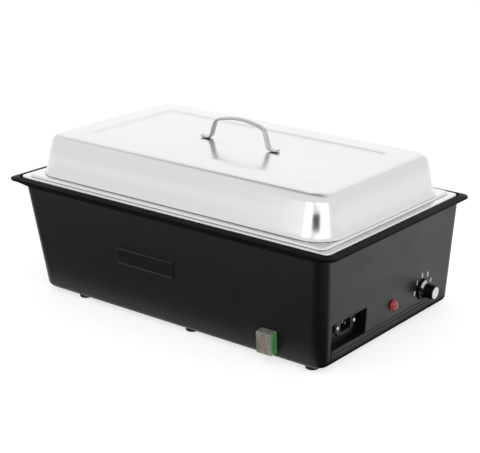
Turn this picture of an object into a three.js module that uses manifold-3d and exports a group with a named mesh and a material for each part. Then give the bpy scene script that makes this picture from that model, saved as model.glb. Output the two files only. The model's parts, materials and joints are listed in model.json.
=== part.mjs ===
// Electric chafing dish: a black moulded casing with a steel water basin heated from below,
// a standard gastronorm food pan that rests on the basin, and a lift-off domed steel lid.
// Frame: millimetres, X along the dish with the controls at +X, the switch side at -Y, Z up,
// origin on the table under the middle of the rim.
import * as THREE from "three";
import { mergeVertices } from "three/addons/utils/BufferGeometryUtils.js";
import Module from "manifold-3d";

const wasm = await Module();
wasm.setup();

// Clearances
const seat = 0.3;
const overrun = 3;
const basinClearance = 1.8;

// Facets
const cornerSteps = 5;
const roundSides = 28;
const smallSides = 12;
const wireSides = 6;
const hexSides = 6;
const footSides = 20;
const handleSides = 10;
const handleSteps = 34;
const elementSides = 8;
const elementSteps = 60;

// The share of a small rounded edge at its middle point
const edgeShare = 1 / 3;

// Food pan, gastronorm 1/1 and 65 deep
const panLength = 530;
const panWidth = 325;
const panCorner = 11;
const panFlangeWide = 12.5;
const panBodyLength = panLength - 2 * panFlangeWide;
const panBodyWidth = panWidth - 2 * panFlangeWide;
const panBodyCorner = 44;
const panDepth = 65;
const panEdge = 3;
const panFillet = 15;

// Water basin, made to take the pan
const flangeEndMargin = 11.4;
const flangeSideMargin = 6.3;
const basinFlangeLength = panLength + 2 * flangeEndMargin;
const basinFlangeWidth = panWidth + 2 * flangeSideMargin;
const basinFlangeCorner = 10;
const basinFlangeZ = 168.2;
const basinEdge = 4.4;
const basinEdgeRound = 1.6;
const panEndGap = 2;
const panSideGap = 5;
const basinLength = panBodyLength + 2 * panEndGap;
const basinWidth = panBodyWidth + 2 * panSideGap;
const basinCorner = 46;
const basinFloorZ = 73;
const basinFillet = 14;
const sheet = 1;
const wallDraft = 0.17;
const sealWidth = 7;

// Casing, its rim made to take the basin's flange and its walls set in under the rim
const lipGap = 2.4;
const lipWide = 12.6;
const rimLength = basinFlangeLength + 2 * lipWide;
const rimWidth = basinFlangeWidth + 2 * lipWide;
const rimCorner = 14;
const rimTopZ = 167.6;
const rimHeight = 7.3;
const rimEdge = 1.4;
const rimUnderEdge = 2.4;
const lipFall = 2.2;
const lipLand = 0.8;
const ledgeZ = 163;
const footHeight = 5.2;
const rimLeftOverhang = 29.4;
const rimRightOverhang = 13.5;
const rimSideOverhang = 1.6;
const flareLeft = 29.2;
const flareRight = 5.1;
const flareSide = 11.2;
const casingLeftTop = rimLength / 2 - rimLeftOverhang;
const casingLeftBottom = casingLeftTop - flareLeft;
const casingRightTop = rimLength / 2 - rimRightOverhang;
const casingRightBottom = casingRightTop - flareRight;
const casingHalfTop = rimWidth / 2 - rimSideOverhang;
const casingHalfBottom = casingHalfTop - flareSide;
const casingCorner = 19;
const casingFillet = 8;
const casingWall = 3;
const filletSteps = 4;
const rimCove = 4;
const bandHeight = 21.5;
const bandProud = 0.8;
const bandMargin = 22;

// Lid
const lidEndMargin = 2.2;
const lidSideMargin = 9;
const lidLength = panLength - 2 * lidEndMargin;
const lidWidth = panWidth - 2 * lidSideMargin;
const lidCorner = 52;
const lidBeadHeight = 7;
const lidBeadTurn = 1.8;
const lidCoveHeight = 13;
const lidCoveInset = 8;
const lidCoveShares = [[0.12, 0], [0.5, 0.25], [0.88, 0.62], [1, 1]];
const lidWallInset = 10.5;
const lidShoulderZ = 231.2;
const lidShoulderRadius = 17;
const lidCrown = 1.2;
const lidBorder = 33;
const lidPanelSlope = 8;
const lidPanelDrop = 2.8;
const lidPanelTurnShare = 0.25;
const shoulderSteps = 5;

// Lid handle
const handleSpan = 84;
const handleFootSpan = 104;
const handleFootLength = 17;
const handleFootThick = 3;
const handleFootWide = 11.9;
const handleFootCurl = 2.4;
const handleRise = 32;
const handleBow = 5;
const handleCrownShare = 1 / 3;
const handleWide = 9.5;
const handleThick = 4.6;
const handleShift = 6;
const handleBend = 9;
const handleScrewRadius = 2;
const handleWasherRadius = 6.5;
const handleWasherThick = 1.2;
const handleHeadRadius = 4;
const handleHeadHeight = 2.8;

// Base plate, feet and their screws
const plateThick = 1.2;
const plateLap = 9;
const baseRing = 44;
const baseCorner = 14;
const footTopRadius = 10;
const footRadius = 9;
const footStemRadius = 3.2;
const footBarbRadius = 4.3;
const footBarbHeight = 2.4;
const footInset = 8;
const footLeftMargin = 70.4;
const footRightMargin = 24.4;
const footLeftX = footLeftMargin - casingLeftBottom;
const footRightX = casingRightBottom - footRightMargin;
const footMiddleX = (footLeftX + footRightX) / 2;
const bossRadius = 6;
const bossHeight = 9;
const screwRadius = 2;
const screwHeadRadius = 4;
const screwHeadHeight = 1.8;
const plateScrewColumns = 2;

// Heating below the basin
const spreaderLeftMargin = 82.5;
const spreaderRightMargin = 122.5;
const spreaderSideMargin = 71;
const spreaderLeftX = spreaderLeftMargin - basinLength / 2;
const spreaderRightX = basinLength / 2 - spreaderRightMargin;
const spreaderHalf = basinWidth / 2 - spreaderSideMargin;
const spreaderThick = 2;
const spreaderCorner = 12;
const elementRadius = 4;
const elementMargin = 22;
const elementHalfWidth = spreaderHalf - elementMargin;
const elementLeftX = spreaderLeftX + elementMargin;
const elementRightX = spreaderRightX - elementMargin;
const elementNeck = 18;
const elementTail = 54;
const elementNeckX = spreaderRightX + elementNeck;
const elementEndX = spreaderRightX + elementTail;
const elementEndHalf = 14;
const elementBend = 24;
const elementPinRadius = 2;
const elementPinLength = 12;
const clampLeftShare = 0.25;
const clampPlaces = [clampLeftShare, 1 - clampLeftShare].map((share) => (
  spreaderLeftX + (spreaderRightX - spreaderLeftX) * share
));
const clampWide = 14;
const clampThick = 2.5;
const studOutset = 11;
const studHalf = spreaderHalf + studOutset;
const studRadius = 2.4;
const studMargin = 8;
const studTail = 2.5;
const nutAcross = 8;
const nutHeight = 4;
const shieldThick = 1;
const shieldLip = 6;
const shieldMargin = 18;
const shieldSideMargin = 24;
const cutoutX = elementNeckX + elementNeck;
const cutoutY = elementHalfWidth;
const cutoutRadius = 8;
const cutoutHeight = 9;
const cutoutTab = 7;
const tabWide = 6.3;
const tabThick = 0.8;

// Controls on the end wall, measured in the plane of that wall
const controlZ = 45;
const knobMargin = 84;
const knobAcross = casingHalfBottom - knobMargin;
const skirtRadius = 15.2;
const skirtThick = 2.6;
const skirtBevel = 1;
const knobLift = 1;
const coneRadius = 12;
const coneLength = 4.6;
const gripRadius = 9.8;
const gripLength = 12;
const gripChamfer = 0.6;
const capRadius = 8.7;
const capThick = 1.1;
const knobRecessRadius = 10.4;
const knobRecessDepth = 3.4;
const shaftRadius = 3;
const shaftLength = 15;
const bushRadius = 4.8;
const bushLength = 3.4;
const bushNutAcross = 14;
const bushNutHeight = 2.4;
const thermostatWide = 34;
const thermostatTall = 28;
const thermostatDeep = 22;
const thermostatTabHalf = 9;
const thermostatTab = 6.5;
const bulbRadius = 3;
const bulbLength = 84;
const bulbInset = 43;
const bulbX = elementRightX - bulbLength / 2;
const bulbHalf = basinWidth / 2 - bulbInset;
const capillaryRadius = 1;
const clipThick = 1;
const clipWide = 10;
const clipFoot = 9;
const lampAcross = 3.5;
const lampUp = 1;
const lampFlangeRadius = 9;
const lampFlangeThick = 1.6;
const lampDomeRadius = 7.6;
const lampDomeHeight = 7.4;
const lampStemRadius = 5.2;
const lampStemLength = 9;
const lampBodyLength = 14;
const lampNutRadius = 8.6;
const lampNutThick = 1.6;
const pocketMargin = 61.9;
const pocketAcross = pocketMargin - casingHalfBottom;
const pocketUp = 0.6;
const pocketWide = 82.5;
const pocketTall = 36.5;
const pocketDeep = 12;
const pocketWall = 2.2;
const pocketCorner = 1.6;
const inletShift = 9.8;
const inletAcross = pocketAcross + inletShift;
const inletUp = 2;
const inletFlangeHalf = 25;
const inletFlangeTall = 28;
const inletFlangeEnd = 9;
const inletFlangeWaist = 13.5;
const inletFlangeThick = 2.4;
const inletBodyWide = 27.4;
const inletBodyTall = 20.4;
const inletBodyDeep = 19;
const inletMouthWide = 24;
const inletMouthTall = 16.4;
const inletMouthDeep = 16;
const inletMouthChamfer = 4.5;
const inletScrewHalf = 20;
const inletScrewRadius = 1.6;
const inletHeadRadius = 2.9;
const inletHeadHeight = 1.6;
const inletScrewTail = 3;
const pinWide = 4;
const pinThick = 2;
const pinReach = 11;
const pinHalf = 7;
const pinLow = -2;
const pinHigh = 2;
const pinTail = 7;

// Switch on the front wall, measured in the plane of that wall
const switchMargin = 82.4;
const switchX = casingRightBottom - switchMargin;
const switchZ = 29.2;
const bezelWide = 23.6;
const bezelTall = 29.8;
const bezelThick = 2;
const bezelCorner = 1.5;
const switchBodyWide = 20.6;
const switchBodyTall = 26.6;
const switchBodyDeep = 21;
const switchWellWide = 17.6;
const switchWellTall = 24.4;
const switchWellDeep = 11;
const rockerWide = 16.8;
const rockerRadius = 11.7;
const rockerPivotDepth = 1;
const rockerSweep = 34;
const rockerBackSweep = 18;
const rockerDish = 6.6;
const rockerBack = 5;
const rockerTilt = 7;
const rockerSteps = 4;
const coverWall = 1.1;
const coverDeep = 12;
const coverTaper = 0.5;
const switchTabHalfX = 5.5;
const switchTabHalfZ = 7;
const switchTab = 7;

// Badge plate on the front wall
const badgeX = -24;
const badgeZ = 90.3;
const badgeLength = 101.4;
const badgeHeight = 23.6;
const badgeThick = 1.3;
const badgeBorder = 1.7;
const badgeRecess = 0.4;
const badgeCorner = 1;

// Wiring
const wireRadius = 1.4;
const wireReach = 34;
const wireSteps = 12;
const earthX = elementNeckX;
const earthY = -spreaderHalf;
const earthRadius = 2;
const earthLength = 12;

// Heights that follow from the sizes above
const rimUnderZ = rimTopZ - rimHeight;
const casingRise = rimUnderZ - footHeight;
const panFlangeZ = basinFlangeZ + seat + panEdge;
const lidFootZ = panFlangeZ + seat;
const panelZ = lidShoulderZ + lidCrown - lidPanelDrop;
const basinUnderZ = basinFloorZ - sheet;
const spreaderZ = basinUnderZ - seat - spreaderThick;
const elementZ = spreaderZ - seat - elementRadius;
const clampZ = elementZ - elementRadius - seat - clampThick;
const shieldZ = clampZ - seat - shieldThick;
const nutZ = shieldZ - seat - nutHeight;
const studEndZ = nutZ - studTail;
const footHalf = casingHalfBottom - casingFillet - footInset;

// A rounded rectangle at one height, from its left and right ends and its half width
function section(left, right, half, radius, z) {
  return { left, right, half, radius, z };
}

// The same outline drawn in on every side, at another height
function drawnIn(base, amount, z = base.z) {
  const radius = Math.max(base.radius - amount, seat);
  return section(base.left + amount, base.right - amount, base.half - amount, radius, z);
}

// The outline's points, anticlockwise seen from above
function outlinePoints({ left, right, half, radius, z }) {
  const corners = [
    [right - radius, half - radius, 0],
    [left + radius, half - radius, 1],
    [left + radius, radius - half, 2],
    [right - radius, radius - half, 3],
  ];
  const points = [];
  for (const [x, y, quarter] of corners) {
    for (let step = 0; step <= cornerSteps; step += 1) {
      const angle = (quarter + step / cornerSteps) * Math.PI / 2;
      points.push([x + radius * Math.cos(angle), y + radius * Math.sin(angle), z]);
    }
  }
  return points;
}

// A closed body through outlines given from the lowest or innermost start to the end
function loft(sections) {
  const rings = sections.map(outlinePoints);
  const count = rings[0].length;
  const last = (rings.length - 1) * count;
  const index = [];
  for (let base = 0; base < last; base += count) {
    for (let step = 0; step < count; step += 1) {
      const here = base + step;
      const next = base + (step + 1) % count;
      index.push(here, next, next + count, here, next + count, here + count);
    }
  }
  for (let step = 1; step + 1 < count; step += 1) {
    index.push(0, step + 1, step);
    index.push(last, last + step, last + step + 1);
  }
  const geometry = new THREE.BufferGeometry();
  geometry.setAttribute("position", new THREE.Float32BufferAttribute(rings.flat(2), 3));
  geometry.setIndex(index);
  return geometry;
}

// A body of one outline between two heights
function upright(outline, low, high) {
  return loft([drawnIn(outline, 0, low), drawnIn(outline, 0, high)]);
}

// A block between two opposite corners
function block(low, high) {
  const geometry = new THREE.BoxGeometry(high[0] - low[0], high[1] - low[1], high[2] - low[2]);
  return geometry.translate((low[0] + high[0]) / 2, (low[1] + high[1]) / 2, (low[2] + high[2]) / 2);
}

// A block centred on a point in plan, between two heights
function blockAt(x, y, wide, tall, low, high) {
  return block([x - wide / 2, y - tall / 2, low], [x + wide / 2, y + tall / 2, high]);
}

// A body turned about the Z axis, from points of radius and height that run upwards outside
function turned(profile, sides = roundSides) {
  const points = profile.map(([radius, height]) => new THREE.Vector2(radius, height));
  return new THREE.LatheGeometry(points, sides).rotateX(Math.PI / 2);
}

function disc(radius, low, high, sides = roundSides) {
  return turned([[0, low], [radius, low], [radius, high], [0, high]], sides);
}

function hollowDisc(inner, outer, low, high, sides = roundSides) {
  return turned([[inner, low], [outer, low], [outer, high], [inner, high], [inner, low]], sides);
}

// A hexagon nut with a bore, from its size across flats
function hexNut(acrossFlats, bore, low, high) {
  const corner = acrossFlats / Math.sqrt(3);
  const nut = toSolid(disc(corner, low, high, hexSides));
  return toGeometry(nut.subtract(toSolid(disc(bore, low - overrun, high + overrun, smallSides))));
}

// A screw with its head below or above the shank, the shank running from neck to tip
function screw(headRadius, headHeight, radius, neck, tip) {
  const up = Math.sign(tip - neck);
  const headEnd = neck - up * headHeight;
  const profile = [
    [0, headEnd],
    [headRadius, headEnd],
    [headRadius, neck],
    [radius, neck],
    [radius, tip],
    [0, tip],
  ];
  return turned(up > 0 ? profile : profile.reverse(), smallSides);
}

// A prism of a flat outline, from one height to another
function prism(outline, low, high) {
  const shape = new THREE.Shape(outline.map(([x, y]) => new THREE.Vector2(x, y)));
  return new THREE.ExtrudeGeometry(shape, { depth: high - low, bevelEnabled: false }).translate(0, 0, low);
}

// A path of straight runs joined by rounded bends
function bentPath(points, bend) {
  const path = new THREE.CurvePath();
  let from = points[0];
  for (let step = 1; step + 1 < points.length; step += 1) {
    const corner = points[step];
    const back = from.clone().sub(corner);
    const ahead = points[step + 1].clone().sub(corner);
    const reach = Math.min(bend, back.length() / 2, ahead.length() / 2);
    const enter = corner.clone().addScaledVector(back.normalize(), reach);
    const leave = corner.clone().addScaledVector(ahead.normalize(), reach);
    path.add(new THREE.LineCurve3(from, enter));
    path.add(new THREE.QuadraticBezierCurve3(enter, corner, leave));
    from = leave;
  }
  path.add(new THREE.LineCurve3(from, points[points.length - 1]));
  return path;
}

// A rod of round or oval section along a path
function rodAlong(path, halfAcross, halfDeep, sides, steps) {
  const outline = [];
  for (let side = 0; side < sides; side += 1) {
    const angle = side / sides * Math.PI * 2;
    outline.push(new THREE.Vector2(halfDeep * Math.cos(angle), halfAcross * Math.sin(angle)));
  }
  const settings = { steps, extrudePath: path, bevelEnabled: false };
  return new THREE.ExtrudeGeometry(new THREE.Shape(outline), settings);
}

// Solids for joining and cutting
function toSolid(geometry) {
  const bare = geometry.clone();
  bare.deleteAttribute("normal");
  bare.deleteAttribute("uv");
  const closed = mergeVertices(bare);
  return new wasm.Manifold(new wasm.Mesh({
    numProp: 3,
    vertProperties: Float32Array.from(closed.attributes.position.array),
    triVerts: Uint32Array.from(closed.index.array),
  }));
}

function toGeometry(solid) {
  const mesh = solid.getMesh();
  const geometry = new THREE.BufferGeometry();
  geometry.setAttribute("position", new THREE.BufferAttribute(mesh.vertProperties, 3));
  geometry.setIndex(new THREE.BufferAttribute(mesh.triVerts, 1));
  return geometry;
}

function cut(body, tools) {
  return tools.reduce((solid, tool) => solid.subtract(toSolid(tool)), toSolid(body));
}

function joined(bodies) {
  return bodies.map(toSolid).reduce((whole, solid) => whole.add(solid));
}

// A copy of a geometry at each place
function moved(geometry, places) {
  return places.map(([x, y, z]) => geometry.clone().translate(x, y, z));
}

// Materials
function material(colour, roughness, metalness) {
  return new THREE.MeshStandardMaterial({ color: colour, roughness, metalness });
}

const blackPlastic = () => material(0x1b1b1c, 0.5, 0);
const blackRubber = () => material(0x101010, 0.85, 0);
const brushedSteel = () => material(0xd4d5d6, 0.32, 1);
const dullSteel = () => material(0x9b9da0, 0.5, 1);
const chrome = () => material(0xe4e6e8, 0.08, 1);
const aluminium = () => material(0xb9bcc0, 0.45, 1);
const brass = () => material(0xb8923f, 0.35, 1);
const greenPlastic = () => material(0x2f9a3c, 0.3, 0);
const redLens = () => material(0xc4142c, 0.15, 0);
const greyPlastic = () => material(0x2d2d30, 0.6, 0);
const whitePlastic = () => material(0xe7e4da, 0.5, 0);
const silicone = () => material(0xb9b4a8, 0.8, 0);

function clearPlastic() {
  const clear = material(0xd8d6cf, 0.25, 0);
  clear.transparent = true;
  clear.opacity = 0.45;
  return clear;
}

function piece(name, geometry, finish) {
  const mesh = new THREE.Mesh(geometry, finish);
  mesh.name = name;
  return mesh;
}

// The same piece at several places, numbered from 1
function pieces(name, geometry, finish, places) {
  return places.map(([x, y, z], place) => {
    const mesh = piece(`${name}_${place + 1}`, geometry, finish());
    mesh.position.set(x, y, z);
    return mesh;
  });
}

// The casing's walls lean outwards as they rise: the share of the rise at a height
function riseShare(z) {
  return (z - footHeight) / casingRise;
}

function casingOutline(z) {
  const share = riseShare(z);
  const left = casingLeftBottom + (casingLeftTop - casingLeftBottom) * share;
  const right = casingRightBottom + (casingRightTop - casingRightBottom) * share;
  const half = casingHalfBottom + (casingHalfTop - casingHalfBottom) * share;
  return section(-left, right, half, casingCorner, z);
}

// The rounded bottom edge and the walls above it, drawn in by a wall thickness
function casingBody(thickness, topZ) {
  const fillet = casingFillet - thickness;
  const bottom = footHeight + thickness;
  const sections = [];
  for (let step = 0; step <= filletSteps; step += 1) {
    const angle = step / filletSteps * Math.PI / 2;
    const z = bottom + fillet * (1 - Math.cos(angle));
    sections.push(drawnIn(casingOutline(z), thickness + fillet * (1 - Math.sin(angle))));
  }
  sections.push(drawnIn(casingOutline(topZ), thickness));
  return loft(sections);
}

const rimOutline = section(-rimLength / 2, rimLength / 2, rimWidth / 2, rimCorner, rimTopZ);
const flangeOutline = section(
  -basinFlangeLength / 2, basinFlangeLength / 2, basinFlangeWidth / 2, basinFlangeCorner, basinFlangeZ,
);
const recessOutline = drawnIn(flangeOutline, -lipGap);
const basinOutline = section(-basinLength / 2, basinLength / 2, basinWidth / 2, basinCorner, basinFlangeZ);
const openingOutline = drawnIn(basinOutline, -basinClearance);

// The rim, its lip falling outwards from the basin's flange so that spilt water runs off
function rimBody() {
  const outerTop = rimTopZ - lipFall;
  return loft([
    drawnIn(casingOutline(rimUnderZ), 0, rimUnderZ - rimCove),
    drawnIn(rimOutline, rimUnderEdge, rimUnderZ),
    drawnIn(rimOutline, rimUnderEdge * edgeShare, rimUnderZ + rimUnderEdge * edgeShare),
    drawnIn(rimOutline, 0, rimUnderZ + rimUnderEdge),
    drawnIn(rimOutline, 0, outerTop - rimEdge),
    drawnIn(rimOutline, rimEdge * edgeShare, outerTop - rimEdge * edgeShare),
    drawnIn(rimOutline, rimEdge, outerTop),
    drawnIn(recessOutline, -lipLand, rimTopZ),
  ]);
}

// The step that takes the basin's flange
function rimRecess() {
  return upright(recessOutline, ledgeZ, rimTopZ + overrun);
}

const baseOpening = { ...drawnIn(casingOutline(footHeight), baseRing), radius: baseCorner };
const plateOutline = drawnIn(baseOpening, -plateLap);
const plateRebateZ = footHeight + plateThick + seat;

// Places spread evenly round the base opening for the plate's screws
function plateScrewPlaces() {
  const line = drawnIn(baseOpening, -plateLap / 2);
  const places = [];
  for (let column = 0; column < plateScrewColumns; column += 1) {
    const x = line.left + (line.right - line.left) * (column + 1 / 2) / plateScrewColumns;
    places.push([x, -line.half, 0], [x, line.half, 0]);
  }
  return places;
}

const footPlaces = [];
for (const y of [-footHalf, footHalf]) {
  for (const x of [footLeftX, footMiddleX, footRightX]) {
    footPlaces.push([x, y, 0]);
  }
}

// A frame on a wall: its x runs across the wall, its y up the wall and its z out of it
function wallFrame(origin, across, up) {
  const out = across.clone().cross(up).normalize();
  const frame = new THREE.Matrix4().makeBasis(across, out.clone().cross(across), out);
  return frame.setPosition(origin);
}

const endLean = (casingRightTop - casingRightBottom) / casingRise;
const frontLean = (casingHalfTop - casingHalfBottom) / casingRise;

function endFrame(y, z) {
  const origin = new THREE.Vector3(casingOutline(z).right, y, z);
  return wallFrame(origin, new THREE.Vector3(0, 1, 0), new THREE.Vector3(endLean, 0, 1).normalize());
}

function frontFrame(x, z) {
  const origin = new THREE.Vector3(x, -casingOutline(z).half, z);
  return wallFrame(origin, new THREE.Vector3(1, 0, 0), new THREE.Vector3(0, -frontLean, 1).normalize());
}

const knobFrame = endFrame(knobAcross, controlZ);
const lampFrame = endFrame(lampAcross, controlZ + lampUp);
const pocketFrame = endFrame(pocketAcross, controlZ + pocketUp);
const inletFrame = endFrame(inletAcross, controlZ + inletUp);
const switchFrame = frontFrame(switchX, switchZ);
const badgeFrame = frontFrame(badgeX, badgeZ);

function placed(geometry, frame) {
  return geometry.clone().applyMatrix4(frame);
}

const inletFloor = pocketDeep + inletFlangeThick + seat;

function roundedBlock(wide, tall, corner, low, high) {
  return upright(section(-wide / 2, wide / 2, tall / 2, corner, low), low, high);
}

// The pocket's outside, grown all round by a clearance for the hole that it sits in
function pocketBlock(room, high) {
  const wide = pocketWide + 2 * (pocketWall + room);
  const tall = pocketTall + 2 * (pocketWall + room);
  return placed(roundedBlock(wide, tall, pocketCorner, -inletFloor - pocketWall, high), pocketFrame);
}

function pocketSpace() {
  return placed(roundedBlock(pocketWide, pocketTall, pocketCorner, -inletFloor, overrun), pocketFrame);
}

// The low band that runs along the end wall under the controls
function endBand() {
  const half = casingHalfBottom - bandMargin;
  const up = footHeight + bandHeight;
  const frame = endFrame(0, up);
  return placed(block([-half, casingFillet - bandHeight, -casingWall / 2], [half, 0, bandProud]), frame);
}

function casing() {
  const plateScrews = plateScrewPlaces();
  const plateBoss = disc(bossRadius, plateRebateZ, footHeight + casingWall + bossHeight, smallSides);
  const screwHole = disc(screwRadius + seat, 0, footHeight + bossHeight, smallSides);
  const footHole = disc(footStemRadius + seat, 0, footHeight + casingWall + overrun, smallSides);
  const shell = joined([casingBody(0, rimUnderZ), rimBody(), endBand()])
    .subtract(toSolid(casingBody(casingWall, rimUnderZ - rimCove)))
    .subtract(toSolid(upright(openingOutline, rimUnderZ - rimCove - overrun, rimTopZ)))
    .subtract(toSolid(rimRecess()))
    .subtract(toSolid(upright(baseOpening, 0, footHeight + casingWall * 2)));
  return shell
    .add(joined(moved(plateBoss, plateScrews)))
    .subtract(toSolid(upright(drawnIn(plateOutline, -seat), 0, plateRebateZ)))
    .subtract(toSolid(pocketBlock(seat, overrun)))
    .subtract(joined(moved(screwHole, plateScrews)))
    .subtract(joined(moved(footHole, footPlaces)))
    .subtract(toSolid(placed(disc(bushRadius + seat, -casingWall - overrun, overrun), knobFrame)))
    .subtract(toSolid(placed(disc(lampStemRadius + seat, -casingWall - overrun, overrun), lampFrame)))
    .subtract(toSolid(placed(switchHole(), switchFrame)));
}

// A cup let into the end wall, with the mains inlet screwed to its floor
function inletRecess() {
  return toGeometry(toSolid(pocketBlock(0, 0))
    .subtract(toSolid(pocketSpace()))
    .subtract(toSolid(placed(inletHole(), inletFrame)))
    .subtract(inletScrewHoles()));
}

function inletHole() {
  const wide = inletBodyWide + 2 * seat;
  const tall = inletBodyTall + 2 * seat;
  return blockAt(0, 0, wide, tall, -inletFloor - pocketWall - overrun, -pocketDeep);
}

const inletScrewPlaces = [[-inletScrewHalf, 0, 0], [inletScrewHalf, 0, 0]];

function inletScrewHoles() {
  const hole = disc(inletScrewRadius + seat, -inletFloor - pocketWall - overrun, -pocketDeep, smallSides);
  return joined(moved(hole, inletScrewPlaces).map((tool) => placed(tool, inletFrame)));
}

function switchHole() {
  return blockAt(0, 0, switchBodyWide + 2 * seat, switchBodyTall + 2 * seat, -casingWall - overrun, overrun);
}

function basePlate() {
  const top = footHeight + plateThick;
  return toGeometry(cut(upright(plateOutline, footHeight, top), [
    ...moved(disc(screwRadius + seat, 0, top + overrun, smallSides), plateScrewPlaces()),
    ...moved(disc(earthRadius + seat, 0, top + overrun, smallSides), [[earthX, earthY, 0]]),
  ]));
}

function plateScrew() {
  const neck = footHeight - seat;
  const tip = footHeight + bossHeight - seat;
  return screw(screwHeadRadius, screwHeadHeight, screwRadius, neck, tip);
}

// A rubber foot whose barbed stem is pushed through the casing's floor
function foot() {
  const top = footHeight - seat;
  const barb = footHeight + casingWall + seat;
  return turned([
    [0, 0],
    [footRadius, 0],
    [footTopRadius, top],
    [footStemRadius, top],
    [footStemRadius, barb],
    [footBarbRadius, barb],
    [footStemRadius, barb + footBarbHeight],
    [0, barb + footBarbHeight],
  ], footSides);
}

// A pressed tray: walls that draw in as they go down, a rounded floor edge and a flat flange
function traySections(outline, topZ, floorZ, fillet, spread) {
  const sections = [];
  for (let step = 0; step <= filletSteps; step += 1) {
    const angle = step / filletSteps * Math.PI / 2;
    const z = floorZ + fillet * (1 - Math.cos(angle));
    const inwards = (topZ - z) * wallDraft + fillet * (1 - Math.sin(angle));
    sections.push(drawnIn(outline, inwards - spread, z));
  }
  sections.push(drawnIn(outline, -spread, topZ));
  return sections;
}

function flange(outline, edge, round) {
  const top = outline.z;
  const outer = loft([
    drawnIn(outline, 0, top - edge),
    drawnIn(outline, 0, top - round),
    drawnIn(outline, round * edgeShare, top - round * edgeShare),
    drawnIn(outline, round, top),
  ]);
  const inner = loft([
    drawnIn(outline, sheet, top - edge - overrun),
    drawnIn(outline, sheet, top - sheet - round * edgeShare),
    drawnIn(outline, sheet + round / 2, top - sheet),
  ]);
  return cut(outer, [inner]);
}

function tray(outline, topOutline, floorZ, fillet, edge, round) {
  const top = topOutline.z;
  const outer = traySections(outline, top, floorZ - sheet, fillet + sheet, 0);
  const inner = traySections(outline, top, floorZ, fillet, -sheet);
  const mouth = drawnIn(inner[inner.length - 1], 0, top + overrun);
  const body = flange(topOutline, edge, round).add(toSolid(loft(outer)));
  return toGeometry(body.subtract(toSolid(loft([...inner, mouth]))));
}

const panFlange = section(-panLength / 2, panLength / 2, panWidth / 2, panCorner, panFlangeZ);
const panOutline = section(
  -panBodyLength / 2 - sheet, panBodyLength / 2 + sheet, panBodyWidth / 2 + sheet, panBodyCorner, panFlangeZ,
);

// The basin carries the welded studs that hold the heating parts
function waterBasin() {
  const pressed = tray(basinOutline, flangeOutline, basinFloorZ, basinFillet, basinEdge, basinEdgeRound);
  const stud = disc(studRadius, studEndZ, basinUnderZ + sheet / 2, smallSides);
  return toGeometry(joined([pressed, ...moved(stud, studPlaces)]));
}

function foodPan() {
  return tray(panOutline, panFlange, panFlangeZ - panDepth, panFillet, panEdge, sheet);
}

function basinSeal() {
  const inner = drawnIn(openingOutline, -seat);
  const low = ledgeZ + seat;
  const high = basinFlangeZ - sheet - seat;
  const outer = drawnIn(inner, -sealWidth);
  return toGeometry(cut(upright(outer, low, high), [upright(inner, low - overrun, high + overrun)]));
}

// The lid: bead, cove, wall, shoulder, border and the sunk panel, as insets from the bead
const lidOutline = section(-lidLength / 2, lidLength / 2, lidWidth / 2, lidCorner, lidFootZ);

function lidSections(thickness) {
  const wallTop = lidShoulderZ - lidShoulderRadius;
  const beadTop = lidFootZ + lidBeadHeight;
  const points = [
    [lidBeadTurn, lidFootZ],
    [0, lidFootZ + lidBeadTurn],
    [0, beadTop - lidBeadTurn],
    ...lidCoveShares.map(([inShare, upShare]) => [lidCoveInset * inShare, beadTop + lidCoveHeight * upShare]),
  ];
  for (let step = 0; step <= shoulderSteps; step += 1) {
    const angle = step / shoulderSteps * Math.PI / 2;
    const inwards = lidWallInset + lidShoulderRadius * (1 - Math.cos(angle));
    points.push([inwards, wallTop + lidShoulderRadius * Math.sin(angle)]);
  }
  const borderInset = lidWallInset + lidShoulderRadius + lidBorder;
  points.push([borderInset, lidShoulderZ + lidCrown]);
  points.push([
    borderInset + lidPanelSlope * lidPanelTurnShare,
    lidShoulderZ + lidCrown - lidPanelDrop * lidPanelTurnShare,
  ]);
  points.push([borderInset + lidPanelSlope, panelZ]);
  return points.map(([inwards, z]) => drawnIn(lidOutline, inwards + thickness, z - thickness));
}

// The room under the sheet; the rolled bead round the foot is thicker than the sheet
function lidRoom() {
  const beadTop = lidFootZ + lidBeadHeight;
  const mouth = drawnIn(lidOutline, lidBeadTurn + sheet, lidFootZ - overrun);
  const above = lidSections(sheet).filter(({ z }) => z > beadTop);
  return loft([mouth, drawnIn(mouth, 0, beadTop - sheet), ...above]);
}

const handleScrewPlaces = [-1, 1].map((side) => [
  handleShift + side * (handleFootSpan + handleFootLength) / 2, 0, 0,
]);

function lidShell() {
  const hole = disc(handleScrewRadius + seat, panelZ - overrun, panelZ + overrun, smallSides);
  const holes = joined(moved(hole, handleScrewPlaces));
  return toGeometry(cut(loft(lidSections(0)), [lidRoom()]).subtract(holes));
}

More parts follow.
